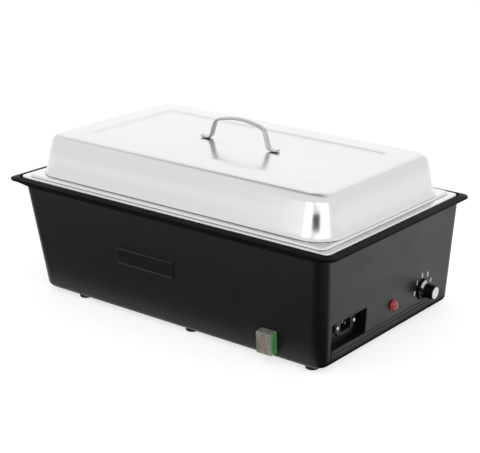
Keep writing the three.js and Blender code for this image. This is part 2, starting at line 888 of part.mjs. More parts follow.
// The bow stands on two flat feet whose tips curl up
function lidHandle() {
  const footZ = panelZ + seat + handleFootThick / 2;
  const topZ = panelZ + handleRise;
  const at = (x, z) => new THREE.Vector3(handleShift + x, 0, z);
  const bow = bentPath([
    at(-handleFootSpan / 2, footZ),
    at(-handleSpan / 2, topZ),
    at(-handleSpan / 2 * handleCrownShare, topZ + handleBow),
    at(handleSpan / 2 * handleCrownShare, topZ + handleBow),
    at(handleSpan / 2, topZ),
    at(handleFootSpan / 2, footZ),
  ], handleBend);
  const grip = toSolid(rodAlong(bow, handleThick / 2, handleWide / 2, handleSides, handleSteps));
  const feet = [-1, 1].map((side) => {
    const inner = side * (handleFootSpan / 2 - handleThick / 2);
    const outer = side * (handleFootSpan / 2 + handleFootLength);
    const half = handleFootThick / 2;
    const outline = [
      [inner, footZ - half],
      [outer - side * handleFootThick, footZ - half],
      [outer, footZ - half + handleFootCurl],
      [outer - side * half / 2, footZ + half + handleFootCurl],
      [outer - side * handleFootThick, footZ + half],
      [inner, footZ + half],
    ];
    const ordered = side > 0 ? outline : outline.reverse();
    const profile = prism(ordered, -handleFootWide / 2, handleFootWide / 2);
    return toSolid(profile.rotateX(Math.PI / 2).translate(handleShift, 0, 0));
  });
  const hole = disc(handleScrewRadius + seat, panelZ - overrun, footZ, smallSides);
  const body = grip.add(feet[0]).add(feet[1]);
  const floor = block(
    [-handleFootSpan, -handleWide, panelZ - overrun * 2],
    [handleFootSpan, handleWide, panelZ + seat],
  );
  return toGeometry(body
    .subtract(toSolid(floor))
    .subtract(joined(moved(hole, handleScrewPlaces))));
}

function handleWasher() {
  const top = panelZ - sheet - seat;
  const bore = handleScrewRadius + seat;
  return hollowDisc(bore, handleWasherRadius, top - handleWasherThick, top, smallSides);
}

function handleScrew() {
  const neck = panelZ - sheet - 2 * seat - handleWasherThick;
  const tip = panelZ + handleFootThick / 2;
  return screw(handleHeadRadius, handleHeadHeight, handleScrewRadius, neck, tip);
}

// Heating parts hung on studs under the basin
const studPlaces = clampPlaces.flatMap((x) => [[x, -studHalf, 0], [x, studHalf, 0]]);

function spreaderPlate() {
  const outline = section(spreaderLeftX, spreaderRightX, spreaderHalf, spreaderCorner, spreaderZ);
  return upright(outline, spreaderZ, spreaderZ + spreaderThick);
}

function elementPath() {
  const at = (x, y) => new THREE.Vector3(x, y, elementZ);
  return bentPath([
    at(elementEndX, elementEndHalf),
    at(elementNeckX, elementEndHalf),
    at(elementRightX, elementHalfWidth),
    at(elementLeftX, elementHalfWidth),
    at(elementLeftX, -elementHalfWidth),
    at(elementRightX, -elementHalfWidth),
    at(elementNeckX, -elementEndHalf),
    at(elementEndX, -elementEndHalf),
  ], elementBend);
}

function heatingElement() {
  const rod = toSolid(rodAlong(elementPath(), elementRadius, elementRadius, elementSides, elementSteps));
  const pin = disc(elementPinRadius, -elementPinLength / 2, elementPinLength, smallSides);
  const ends = [-1, 1].map((side) => [elementEndX, side * elementEndHalf, elementZ]);
  return toGeometry(rod.add(joined(moved(pin.rotateY(Math.PI / 2), ends))));
}

function elementClamp() {
  const length = 2 * (studHalf + studMargin);
  const top = clampZ + clampThick;
  const hole = disc(studRadius + seat, clampZ - overrun, top + overrun, smallSides);
  const holes = moved(hole, [[0, -studHalf, 0], [0, studHalf, 0]]);
  return toGeometry(cut(blockAt(0, 0, clampWide, length, clampZ, top), holes));
}

function studNut() {
  return hexNut(nutAcross, studRadius + seat, nutZ, nutZ + nutHeight);
}

function heatShield() {
  const left = spreaderLeftX - shieldMargin;
  const right = spreaderRightX + shieldMargin;
  const outline = section(left, right, spreaderHalf + shieldSideMargin, spreaderCorner, shieldZ);
  const low = shieldZ - shieldLip;
  const top = shieldZ + shieldThick;
  return toGeometry(cut(upright(outline, low, top), [
    upright(drawnIn(outline, shieldThick), low - overrun, shieldZ),
    ...moved(disc(studRadius + seat, shieldZ - overrun, top + overrun, smallSides), studPlaces),
  ]));
}

const cutoutTabZ = basinUnderZ - seat - cutoutHeight - cutoutTab;

function thermalCutout() {
  const top = basinUnderZ - seat;
  const can = disc(cutoutRadius, top - cutoutHeight, top);
  const tabs = [-1, 1].map((side) => (
    blockAt(0, side * cutoutRadius / 2, tabWide, tabThick, cutoutTabZ, top - cutoutHeight / 2)
  ));
  return toGeometry(joined([can, ...tabs])).translate(cutoutX, cutoutY, 0);
}

// Thermostat, its shaft and knob, all about the knob's axis
const thermostatBack = casingWall + seat + thermostatDeep;

function thermostatBody() {
  const front = -casingWall - seat;
  const body = toSolid(blockAt(0, 0, thermostatWide, thermostatTall, -thermostatBack, front));
  const bush = hollowDisc(shaftRadius + seat, bushRadius, -thermostatBack / 2, bushLength);
  const bore = disc(shaftRadius + seat, -thermostatBack / 2, bushLength + overrun);
  const tabs = [-1, 1].map((side) => blockAt(
    side * thermostatTabHalf, -thermostatTall / 4, tabThick, tabWide,
    -thermostatBack - thermostatTab, -thermostatBack + casingWall,
  ));
  return toGeometry(body.subtract(toSolid(bore)).add(toSolid(bush)).add(joined(tabs)));
}

function thermostatShaft() {
  return disc(shaftRadius, -casingWall, shaftLength);
}

function bushNut() {
  return hexNut(bushNutAcross, bushRadius + seat, seat, seat + bushNutHeight);
}

const skirtTop = knobLift + skirtThick;
const gripTop = skirtTop + coneLength + gripLength;

function knob() {
  const recessTop = knobLift + knobRecessDepth;
  return turned([
    [knobRecessRadius, knobLift],
    [skirtRadius, knobLift],
    [skirtRadius, skirtTop - skirtBevel],
    [skirtRadius - skirtBevel, skirtTop],
    [coneRadius, skirtTop],
    [gripRadius, skirtTop + coneLength],
    [gripRadius, gripTop - gripChamfer],
    [gripRadius - gripChamfer, gripTop],
    [0, gripTop],
    [0, shaftLength + seat],
    [shaftRadius + seat, shaftLength + seat],
    [shaftRadius + seat, recessTop],
    [knobRecessRadius, recessTop],
    [knobRecessRadius, knobLift],
  ]);
}

function knobCap() {
  return disc(capRadius, gripTop + seat, gripTop + seat + capThick);
}

const bulbZ = basinUnderZ - seat - bulbRadius;

// A round body laid along the dish on the bulb's line
function alongX(geometry, x) {
  return geometry.rotateY(Math.PI / 2).translate(x, bulbHalf, bulbZ);
}

// The sensing bulb lies under the basin, and its thin tube runs back to the thermostat
function capillary() {
  const bulbEnd = new THREE.Vector3(bulbX + bulbLength, bulbHalf, bulbZ);
  const tail = new THREE.Vector3(0, thermostatTall / 4, -thermostatBack - seat).applyMatrix4(knobFrame);
  const back = new THREE.Vector3(0, thermostatTall / 4, -thermostatBack - wireReach).applyMatrix4(knobFrame);
  const ahead = bulbEnd.clone();
  ahead.x += wireReach;
  const path = new THREE.CubicBezierCurve3(bulbEnd, ahead, back, tail);
  const bulb = alongX(disc(bulbRadius, 0, bulbLength, smallSides), bulbX);
  return toGeometry(joined([bulb, rodAlong(path, capillaryRadius, capillaryRadius, wireSides, wireSteps)]));
}

// A saddle over the bulb, cut off flat under the basin, with an ear on each side
function bulbClip() {
  const inner = bulbRadius + seat;
  const outer = inner + clipThick;
  const top = basinUnderZ - seat;
  const low = bulbX + bulbLength / 2 - clipWide / 2;
  const saddle = alongX(disc(outer, 0, clipWide, smallSides), low);
  const ears = [-1, 1].map((side) => {
    const near = bulbHalf + side * inner;
    const far = bulbHalf + side * (inner + clipFoot);
    return block([low, Math.min(near, far), top - clipThick], [low + clipWide, Math.max(near, far), top]);
  });
  const bulbRoom = alongX(disc(inner, 0, bulbLength, smallSides), bulbX);
  const above = block(
    [low - overrun, bulbHalf - outer, top],
    [low + clipWide + overrun, bulbHalf + outer, top + outer],
  );
  return toGeometry(joined([saddle, ...ears]).subtract(toSolid(bulbRoom)).subtract(toSolid(above)));
}

// Pilot lamp
function lampLens() {
  const domeBase = seat + lampFlangeThick;
  const profile = [[0, -lampStemLength], [lampStemRadius, -lampStemLength], [lampStemRadius, seat]];
  profile.push([lampFlangeRadius, seat], [lampFlangeRadius, domeBase]);
  for (let step = 0; step <= shoulderSteps; step += 1) {
    const angle = step / shoulderSteps * Math.PI / 2;
    const radius = step === shoulderSteps ? 0 : lampDomeRadius * Math.cos(angle);
    profile.push([radius, domeBase + lampDomeHeight * Math.sin(angle)]);
  }
  return turned(profile);
}

const lampBack = lampStemLength + seat + lampBodyLength;

function lampBody() {
  const can = disc(lampStemRadius, -lampBack, -lampStemLength - seat);
  const tabs = [-1, 1].map((side) => blockAt(
    side * lampStemRadius / 2, 0, tabThick, tabWide / 2, -lampBack - thermostatTab, -lampBack + casingWall,
  ));
  return toGeometry(joined([can, ...tabs]));
}

function lampNut() {
  const back = -casingWall - seat;
  return hollowDisc(lampStemRadius + seat, lampNutRadius, back - lampNutThick, back);
}

// Power inlet in its pocket
function inletFlangeShape() {
  const tall = inletFlangeTall / 2;
  return [
    [-inletFlangeHalf, -inletFlangeEnd / 2],
    [-inletFlangeWaist, -tall],
    [inletFlangeWaist, -tall],
    [inletFlangeHalf, -inletFlangeEnd / 2],
    [inletFlangeHalf, inletFlangeEnd / 2],
    [inletFlangeWaist, tall],
    [-inletFlangeWaist, tall],
    [-inletFlangeHalf, inletFlangeEnd / 2],
  ];
}

function inletMouth() {
  const wide = inletMouthWide / 2;
  const tall = inletMouthTall / 2;
  const outline = [
    [-wide, -tall],
    [wide, -tall],
    [wide, tall - inletMouthChamfer],
    [wide - inletMouthChamfer, tall],
    [inletMouthChamfer - wide, tall],
    [-wide, tall - inletMouthChamfer],
  ];
  return prism(outline, -pocketDeep - inletMouthDeep, -pocketDeep + overrun);
}

const inletBack = pocketDeep + inletBodyDeep;
const pinPlaces = [[-pinHalf, pinLow, 0], [0, pinHigh, 0], [pinHalf, pinLow, 0]];

function powerInlet() {
  const body = joined([
    prism(inletFlangeShape(), -pocketDeep - inletFlangeThick, -pocketDeep),
    blockAt(0, 0, inletBodyWide, inletBodyTall, -inletBack, -pocketDeep - inletFlangeThick / 2),
  ]);
  const pinHole = blockAt(0, 0, pinThick + 2 * seat, pinWide + 2 * seat, -inletBack - overrun, -pocketDeep);
  const screwHole = disc(inletScrewRadius + seat, -inletBack, -pocketDeep + overrun, smallSides);
  return toGeometry(body
    .subtract(toSolid(inletMouth()))
    .subtract(joined(moved(pinHole, pinPlaces)))
    .subtract(joined(moved(screwHole, inletScrewPlaces))));
}

const pinFront = pocketDeep + inletMouthDeep - pinReach;

function inletPin() {
  return blockAt(0, 0, pinThick, pinWide, -inletBack - pinTail, -pinFront);
}

function inletScrew() {
  const tip = -inletFloor - pocketWall - inletScrewTail;
  return screw(inletHeadRadius, inletHeadHeight, inletScrewRadius, seat - pocketDeep, tip);
}

const switchTabPlaces = [-1, 1].flatMap((up) => (
  [-1, 1].map((side) => [side * switchTabHalfX, up * switchTabHalfZ])
));

// Switch: a bezel and body, the rocker in its well and a clear splash cover over both
function switchBody() {
  const bezel = section(-bezelWide / 2, bezelWide / 2, bezelTall / 2, bezelCorner, seat);
  const frame = loft([
    bezel,
    drawnIn(bezel, 0, seat + bezelThick / 2),
    drawnIn(bezel, bezelThick / 2, seat + bezelThick),
  ]);
  const body = blockAt(0, 0, switchBodyWide, switchBodyTall, -switchBodyDeep, seat + bezelThick / 2);
  const well = blockAt(0, 0, switchWellWide, switchWellTall, -switchWellDeep, seat + bezelThick + overrun);
  const tabs = switchTabPlaces.map(([x, y]) => (
    blockAt(x, y, tabWide, tabThick, -switchBodyDeep - switchTab, -switchBodyDeep + casingWall)
  ));
  return toGeometry(joined([frame, body, ...tabs]).subtract(toSolid(well)));
}

// The rocker's ends are arcs about its pivot, so that it turns inside the well
function rocker() {
  const low = -THREE.MathUtils.degToRad(rockerBackSweep);
  const high = THREE.MathUtils.degToRad(rockerSweep);
  const arc = [];
  for (let step = 0; step <= rockerSteps; step += 1) {
    const angle = low + (high - low) * step / rockerSteps;
    arc.push([rockerRadius * Math.cos(angle), rockerRadius * Math.sin(angle)]);
  }
  const mirrored = arc.map(([x, y]) => [-x, y]).reverse();
  const outline = [...arc, [0, rockerDish], ...mirrored, [0, -rockerBack]];
  const frame = new THREE.Matrix4().makeBasis(
    new THREE.Vector3(0, 1, 0), new THREE.Vector3(0, 0, 1), new THREE.Vector3(1, 0, 0),
  );
  const body = prism(outline, -rockerWide / 2, rockerWide / 2).applyMatrix4(frame);
  return body.rotateX(THREE.MathUtils.degToRad(rockerTilt)).translate(0, 0, -rockerPivotDepth);
}

function switchCover() {
  const skin = coverWall + seat;
  const half = bezelWide / 2 + skin;
  const outer = section(-half, half, bezelTall / 2 + skin, bezelCorner + skin, seat);
  const top = seat + coverDeep;
  const shell = loft([
    outer,
    drawnIn(outer, coverTaper, top - bezelCorner),
    drawnIn(outer, coverTaper + bezelCorner * edgeShare, top - bezelCorner * edgeShare),
    drawnIn(outer, coverTaper + bezelCorner, top),
  ]);
  const room = loft([
    drawnIn(outer, coverWall, -overrun),
    drawnIn(outer, coverWall, seat + bezelThick),
    drawnIn(outer, coverWall + coverTaper, top - coverWall),
  ]);
  return toGeometry(cut(shell, [room]));
}

function badgePlate() {
  const outline = section(-badgeLength / 2, badgeLength / 2, badgeHeight / 2, badgeCorner, seat);
  const top = seat + badgeThick;
  const face = drawnIn(outline, badgeBorder, top - badgeRecess);
  return toGeometry(cut(
    loft([outline, drawnIn(outline, 0, top - badgeRecess), drawnIn(outline, badgeRecess, top)]),
    [loft([face, drawnIn(face, -badgeRecess, top + seat)])],
  ));
}

// Wires
function wire(from, fromFrame, fromWay, to, toFrame, toWay, reach) {
  const start = from.clone().applyMatrix4(fromFrame);
  const end = to.clone().applyMatrix4(toFrame);
  const leave = start.clone().addScaledVector(fromWay, reach);
  const arrive = end.clone().addScaledVector(toWay, reach);
  const path = new THREE.CubicBezierCurve3(start, leave, arrive, end);
  return rodAlong(path, wireRadius, wireRadius, wireSides, wireSteps);
}

const here = new THREE.Matrix4();
const inwardsX = new THREE.Vector3(-1, 0, 0);
const outwardsX = new THREE.Vector3(1, 0, 0);
const inwardsY = new THREE.Vector3(0, 1, 0);
const upwards = new THREE.Vector3(0, 0, 1);
const downwards = new THREE.Vector3(0, 0, -1);

const inletTabEnd = -inletBack - pinTail - seat;
const switchTabEnd = -switchBodyDeep - switchTab - seat;
const thermostatTabEnd = -thermostatBack - thermostatTab - seat;
const elementPinEnd = elementEndX + elementPinLength + seat;

function inletEnd(place) {
  return new THREE.Vector3(pinPlaces[place][0], pinPlaces[place][1], inletTabEnd);
}

function switchEnd(place) {
  return new THREE.Vector3(switchTabPlaces[place][0], switchTabPlaces[place][1], switchTabEnd);
}

function thermostatEnd(side) {
  return new THREE.Vector3(side * thermostatTabHalf, -thermostatTall / 4, thermostatTabEnd);
}

function cutoutEnd(side) {
  return new THREE.Vector3(cutoutX, cutoutY + side * cutoutRadius / 2, cutoutTabZ - seat);
}

function elementEnd(side) {
  return new THREE.Vector3(elementPinEnd, side * elementEndHalf, elementZ);
}

function wires() {
  const earth = new THREE.Vector3(earthX, earthY, footHeight + plateThick + earthLength + seat);
  return [
    ["wire_inlet_live", inletEnd(0), inletFrame, inwardsX, switchEnd(3), switchFrame, inwardsY],
    ["wire_inlet_neutral", inletEnd(2), inletFrame, inwardsX, switchEnd(2), switchFrame, inwardsY],
    ["wire_inlet_earth", inletEnd(1), inletFrame, inwardsX, earth, here, upwards],
    ["wire_switch_thermostat", switchEnd(1), switchFrame, inwardsY, thermostatEnd(-1), knobFrame, inwardsX],
    ["wire_switch_element", switchEnd(0), switchFrame, inwardsY, elementEnd(-1), here, outwardsX],
    ["wire_thermostat_cutout", thermostatEnd(1), knobFrame, inwardsX, cutoutEnd(1), here, downwards],
    ["wire_cutout_element", cutoutEnd(-1), here, downwards, elementEnd(1), here, outwardsX],
  ].map(([name, ...ends]) => piece(name, wire(...ends, wireReach), greyPlastic()));
}

function earthStud() {
  const top = footHeight + plateThick;
  const shank = screw(screwHeadRadius, screwHeadHeight, earthRadius, footHeight - seat, top + earthLength);
  return shank.translate(earthX, earthY, 0);
}

// Assembly
function group(frame, ...meshes) {
  const nest = new THREE.Group();
  nest.applyMatrix4(frame);
  nest.add(...meshes);
  return nest;
}

const footNames = ["front_left", "front_middle", "front_right", "back_left", "back_middle", "back_right"];

function feet() {
  return footPlaces.map(([x, y], place) => {
    const mesh = piece(`foot_${footNames[place]}`, foot(), blackRubber());
    mesh.position.set(x, y, 0);
    return mesh;
  });
}

const dish = new THREE.Group();
dish.add(
  piece("casing", toGeometry(casing()), blackPlastic()),
  piece("base_plate", basePlate(), dullSteel()),
  ...pieces("base_plate_screw", plateScrew(), dullSteel, plateScrewPlaces()),
  ...feet(),
  piece("inlet_recess", inletRecess(), blackPlastic()),
  piece("basin_seal", basinSeal(), silicone()),
  piece("water_basin", waterBasin(), brushedSteel()),
  piece("food_pan", foodPan(), brushedSteel()),
  piece("lid", lidShell(), brushedSteel()),
  piece("lid_handle", lidHandle(), chrome()),
  ...pieces("handle_washer", handleWasher(), dullSteel, handleScrewPlaces),
  ...pieces("handle_screw", handleScrew(), dullSteel, handleScrewPlaces),
  piece("spreader_plate", spreaderPlate(), aluminium()),
  piece("heating_element", heatingElement(), dullSteel()),
  ...pieces("element_clamp", elementClamp(), dullSteel, clampPlaces.map((x) => [x, 0, 0])),
  piece("heat_shield", heatShield(), aluminium()),
  ...pieces("clamp_nut", studNut(), dullSteel, studPlaces),
  piece("thermal_cutout", thermalCutout(), greyPlastic()),
  piece("capillary", capillary(), brass()),
  piece("bulb_clip", bulbClip(), dullSteel()),
  piece("earth_stud", earthStud(), brass()),
  group(
    knobFrame,
    piece("thermostat_body", thermostatBody(), greyPlastic()),
    piece("thermostat_nut", bushNut(), dullSteel()),
    piece("thermostat_shaft", thermostatShaft(), dullSteel()),
    piece("knob", knob(), blackPlastic()),
    piece("knob_cap", knobCap(), chrome()),
  ),
  group(
    lampFrame,
    piece("pilot_lamp_lens", lampLens(), redLens()),
    piece("pilot_lamp_body", lampBody(), whitePlastic()),
    piece("pilot_lamp_nut", lampNut(), dullSteel()),
  ),
  group(
    inletFrame,
    piece("power_inlet", powerInlet(), greyPlastic()),
    ...pieces("inlet_pin", inletPin(), dullSteel, pinPlaces),
    ...pieces("inlet_screw", inletScrew(), chrome, inletScrewPlaces),
  ),
  group(
    switchFrame,
    piece("switch_body", switchBody(), greyPlastic()),
    piece("switch_rocker", rocker(), greenPlastic()),
    piece("switch_cover", switchCover(), clearPlastic()),
  ),
  group(badgeFrame, piece("badge_plate", badgePlate(), blackPlastic())),
  ...wires(),
);

export default dish;
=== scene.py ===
"""Looks of the electric chafing dish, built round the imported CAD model.

Sizes are in millimetres in the frame of the CAD model, and each mesh is made in metres.
X runs along the dish towards the controls, the switch side faces -Y, and Z is up.
Only the camera's clipping, the floor, the cards and the lights are given in metres.
"""

import json
import math

import bmesh
import bpy
from mathutils import Matrix, Vector

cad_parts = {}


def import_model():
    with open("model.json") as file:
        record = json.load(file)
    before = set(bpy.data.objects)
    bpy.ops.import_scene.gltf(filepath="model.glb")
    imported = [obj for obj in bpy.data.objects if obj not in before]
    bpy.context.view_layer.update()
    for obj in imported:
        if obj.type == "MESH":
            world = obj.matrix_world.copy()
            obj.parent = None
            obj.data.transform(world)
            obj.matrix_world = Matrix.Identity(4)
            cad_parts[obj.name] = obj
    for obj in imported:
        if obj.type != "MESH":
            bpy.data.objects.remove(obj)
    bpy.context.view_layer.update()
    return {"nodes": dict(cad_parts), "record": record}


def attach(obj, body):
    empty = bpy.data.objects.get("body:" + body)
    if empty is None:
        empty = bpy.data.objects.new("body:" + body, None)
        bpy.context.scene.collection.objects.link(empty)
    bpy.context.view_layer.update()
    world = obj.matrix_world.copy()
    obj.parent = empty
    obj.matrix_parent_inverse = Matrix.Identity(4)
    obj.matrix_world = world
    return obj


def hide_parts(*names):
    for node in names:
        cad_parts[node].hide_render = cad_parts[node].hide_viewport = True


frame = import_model()

MM = 0.001
CORNER_STEPS = 16
ARC_STEPS = 6
SMALL_STEPS = 6
ROUND_SIDES = 72
BORE_SIDES = 32
SHARP_DEGREES = 38
LEAST_RADIUS = 0.2

# Gap between pieces that sit against each other
SEAM = 0.3

# Thickness of the steel sheet
SHEET = 1


# Outlines and bodies


def section(left, right, half, radius, z):
    """A rounded rectangle in plan at one height."""
    return (left, right, half, radius, z)


def centred(long, wide, corner, z):
    return section(-long / 2, long / 2, wide / 2, corner, z)


def drawn_in(base, amount, z=None):
    """The outline offset inwards, at its own height or at another."""
    left, right, half, radius, level = base
    return section(
        left + amount,
        right - amount,
        half - amount,
        max(radius - amount, LEAST_RADIUS),
        level if z is None else z,
    )


def between(first, second, share, z):
    """An outline part of the way from the first to the second."""
    mixed = [a + (b - a) * share for a, b in zip(first, second)]
    return section(*mixed[:4], z)


def ring(outline, steps=CORNER_STEPS):
    """The outline's points, anticlockwise seen from above."""
    left, right, half, radius, z = outline
    corners = (
        (right - radius, half - radius),
        (left + radius, half - radius),
        (left + radius, radius - half),
        (right - radius, radius - half),
    )
    points = []
    for turn, (x, y) in enumerate(corners):
        for step in range(steps + 1):
            angle = (turn + step / steps) * math.pi / 2
            points.append((x + radius * math.cos(angle), y + radius * math.sin(angle), z))
    return points


def quarter(steps, first=0):
    """Sine and cosine at even steps over a right angle."""
    for step in range(first, steps + 1):
        angle = step / steps * math.pi / 2
        yield math.sin(angle), math.cos(angle)


def eased(share):
    """A share that starts and ends gently."""
    return share * share * (3 - 2 * share)


def dome(radius, rise, base, steps):
    """Profile points over a dome, up to its closed top."""
    points = [(radius * cosine, base + rise * sine) for sine, cosine in quarter(steps, 1)]
    points[-1] = (0, base + rise)
    return points


def rounded(*corners, closed=False, steps=ARC_STEPS):
    """A profile from corners of u, v and rounding radius, each corner turned into an arc."""
    points = []
    count = len(corners)
    for place, (u, v, radius) in enumerate(corners):
        here = Vector((u, v))
        is_end = not closed and place in (0, count - 1)
        if is_end or not radius:
            points.append((u, v))
            continue
        back = Vector(corners[place - 1][:2]) - here
        ahead = Vector(corners[(place + 1) % count][:2]) - here
        half_angle = back.angle(ahead) / 2
        reach = min(radius / math.tan(half_angle), back.length * 0.49, ahead.length * 0.49)
        back.normalize()
        ahead.normalize()
        centre = here + (back + ahead).normalized() * (reach / math.cos(half_angle))
        start = here + back * reach - centre
        finish = here + ahead * reach - centre
        sweep = start.angle(finish)
        for step in range(steps + 1):
            share = step / steps
            first = math.sin((1 - share) * sweep) / math.sin(sweep)
            last = math.sin(share * sweep) / math.sin(sweep)
            point = centre + start * first + finish * last
            points.append((point.x, point.y))
    return points


def smooth_line(points, steps):
    """Points on a Catmull-Rom curve through the given ones."""
    line = []
    for place in range(len(points) - 1):
        before = points[max(place - 1, 0)]
        start, end = points[place], points[place + 1]
        after = points[min(place + 2, len(points) - 1)]
        for step in range(steps):
            t = step / steps
            line.append(
                0.5
                * (
                    2 * start
                    + (end - before) * t
                    + (2 * before - 5 * start + 4 * end - after) * t * t
                    + (3 * start - before - 3 * end + after) * t**3
                )
            )
    line.append(points[-1])
    return line


def skin(rings, loop=False):
    """Vertices and faces of a body through rings that have the same number of points."""
    count = len(rings[0])
    points = [point for one in rings for point in one]
    faces = []
    last = len(rings) if loop else len(rings) - 1
    for level in range(last):
        low = level * count
        high = (level + 1) % len(rings) * count
        for step in range(count):
            after = (step + 1) % count
            faces.append((low + step, low + after, high + after, high + step))
    if not loop:
        faces.append(tuple(reversed(range(count))))
        faces.append(tuple(range(len(points) - count, len(points))))
    return points, faces


def loft(outlines, loop=False, steps=CORNER_STEPS):
    return skin([ring(outline, steps) for outline in outlines], loop)


def turned(profile, sides=ROUND_SIDES):
    """A body turned about Z from (radius, height) points; a radius of zero closes it."""
    points = []
    faces = []
    rows = []
    for radius, height in profile:
        if radius <= 0:
            rows.append([len(points)] * sides)
            points.append((0, 0, height))
            continue
        rows.append(list(range(len(points), len(points) + sides)))
        for side in range(sides):
            angle = side / sides * 2 * math.pi
            points.append((radius * math.cos(angle), radius * math.sin(angle), height))
    for low, high in zip(rows, rows[1:]):
        for side in range(sides):
            after = (side + 1) % sides
            corners = (low[side], low[after], high[after], high[side])
            face = tuple(dict.fromkeys(corners))
            if len(face) > 2:
                faces.append(face)
    return points, faces


def together(*bodies):
    """Several bodies as one list of vertices and faces."""
    points = []
    faces = []
    for more_points, more_faces in bodies:
        shift = len(points)
        points.extend(more_points)
        faces.extend(tuple(index + shift for index in face) for face in more_faces)
    return points, faces


def placed(body, matrix):
    points, faces = body
    return [tuple(matrix @ Vector(point)) for point in points], faces


def shifted(x, y=0):
    return Matrix.Translation((x, y, 0))


def plug(long, wide, corner, low, high, place, steps=SMALL_STEPS):
    """A straight block across a wall."""
    return placed(loft([centred(long, wide, corner, z) for z in (low, high)], steps=steps), place)


def pin(radius, low, high, place):
    profile = ((0, low), (radius, low), (radius, high), (0, high))
    return placed(turned(profile, BORE_SIDES), place)


def linked(name, data):
    """A new object in the scene."""
    made = bpy.data.objects.new(name, data)
    bpy.context.scene.collection.objects.link(made)
    return made


def baked(piece):
    """A mesh of the piece with its modifiers, or its text, worked out."""
    bpy.context.view_layer.update()
    evaluated = piece.evaluated_get(bpy.context.evaluated_depsgraph_get())
    return bpy.data.meshes.new_from_object(evaluated)


def face_outwards(mesh):
    work = bmesh.new()
    work.from_mesh(mesh)
    bmesh.ops.recalc_face_normals(work, faces=work.faces)
    work.to_mesh(mesh)
    work.free()


def shade(mesh):
    mesh.polygons.foreach_set("use_smooth", [True] * len(mesh.polygons))
    mesh.set_sharp_from_angle(angle=math.radians(SHARP_DEGREES))


def solid(name, body):
    """A mesh object in metres from vertices and faces in millimetres."""
    points, faces = body
    mesh = bpy.data.meshes.new(name)
    mesh.from_pydata([Vector(point) * MM for point in points], [], faces)
    mesh.validate()
    face_outwards(mesh)
    shade(mesh)
    return linked(name, mesh)


def carve(target, bodies, operation="DIFFERENCE"):
    """Cuts the bodies out of the target, or joins them to it."""
    for body in bodies:
        tool = solid("tool", body)
        change = target.modifiers.new("carve", "BOOLEAN")
        change.operation = operation
        change.solver = "EXACT"
        change.object = tool
        mesh = baked(target)
        target.modifiers.clear()
        old = target.data
        target.data = mesh
        bpy.data.meshes.remove(old)
        bpy.data.objects.remove(tool)
    shade(target.data)


# Materials


def node(tree, kind, inputs, operation=None):
    """A new node of a kind; each input takes a value or is linked to another node's output."""
    made = tree.nodes.new(f"ShaderNode{kind}")
    if operation:
        made.operation = operation
    for socket, value in inputs.items():
        if isinstance(value, bpy.types.NodeSocket):
            tree.links.new(value, made.inputs[socket])
        else:
            made.inputs[socket].default_value = value
    return made


class Surface:
    """A principled material with small variations in its colour, roughness and height."""

    # Most of a noise texture lies between these two values
    NOISE_LOW = 0.3
    NOISE_HIGH = 0.7

    def __init__(self, name, colour, roughness, metallic=0.0, **sockets):
        self.material = bpy.data.materials.new(name)
        self.material.use_nodes = True
        self.tree = self.material.node_tree
        self.shader = self.tree.nodes["Principled BSDF"]
        self.coordinates = node(self.tree, "TexCoord", {})
        self.colour = colour
        self.roughness = roughness
        self.put("Base Color", (*colour, 1))
        self.put("Roughness", roughness)
        self.put("Metallic", metallic)
        for socket, value in sockets.items():
            self.put(socket.replace("_", " "), value)

    def put(self, socket, value):
        self.shader.inputs[socket].default_value = value

    def coat(self, weight, roughness):
        self.put("Coat Weight", weight)
        self.put("Coat Roughness", roughness)
        return self

    def drive(self, socket, output):
        self.tree.links.new(output, self.shader.inputs[socket])
        return self

    def noise(self, scale, detail, stretch):
        place = {"Vector": self.coordinates.outputs["Object"], "Scale": stretch}
        mapping = node(self.tree, "Mapping", place)
        inputs = {"Vector": mapping.outputs["Vector"], "Scale": scale, "Detail": detail}
        return node(self.tree, "TexNoise", inputs).outputs["Fac"]

    def mottle(self, scale, spread, stretch=(1, 1, 1)):
        """Colour that drifts a little lighter and darker."""
        ramp = node(self.tree, "ValToRGB", {"Fac": self.noise(scale, 3, stretch)})
        dark, light = ramp.color_ramp.elements
        dark.position = self.NOISE_LOW
        light.position = self.NOISE_HIGH
        dark.color = (*[c * (1 - spread) for c in self.colour], 1)
        light.color = (*[min(c * (1 + spread), 1) for c in self.colour], 1)
        return self.drive("Base Color", ramp.outputs["Color"])

    def gloss(self, scale, spread, stretch=(1, 1, 1)):
        """Roughness that drifts by the spread either way."""
        inputs = {
            "Value": self.noise(scale, 4, stretch),
            "From Min": self.NOISE_LOW,
            "From Max": self.NOISE_HIGH,
            "To Min": self.roughness - spread,
            "To Max": self.roughness + spread,
        }
        return self.drive("Roughness", node(self.tree, "MapRange", inputs).outputs["Result"])

    def grain(self, scale, depth, stretch=(1, 1, 1)):
        """Fine relief, its depth in millimetres."""
        inputs = {"Height": self.noise(scale, 4, stretch), "Distance": depth * MM, "Strength": 1.0}
        return self.drive("Normal", node(self.tree, "Bump", inputs).outputs["Normal"])


BRUSHED = (0.06, 1, 1)
UPRIGHT_STREAKS = (1, 1, 0.3)

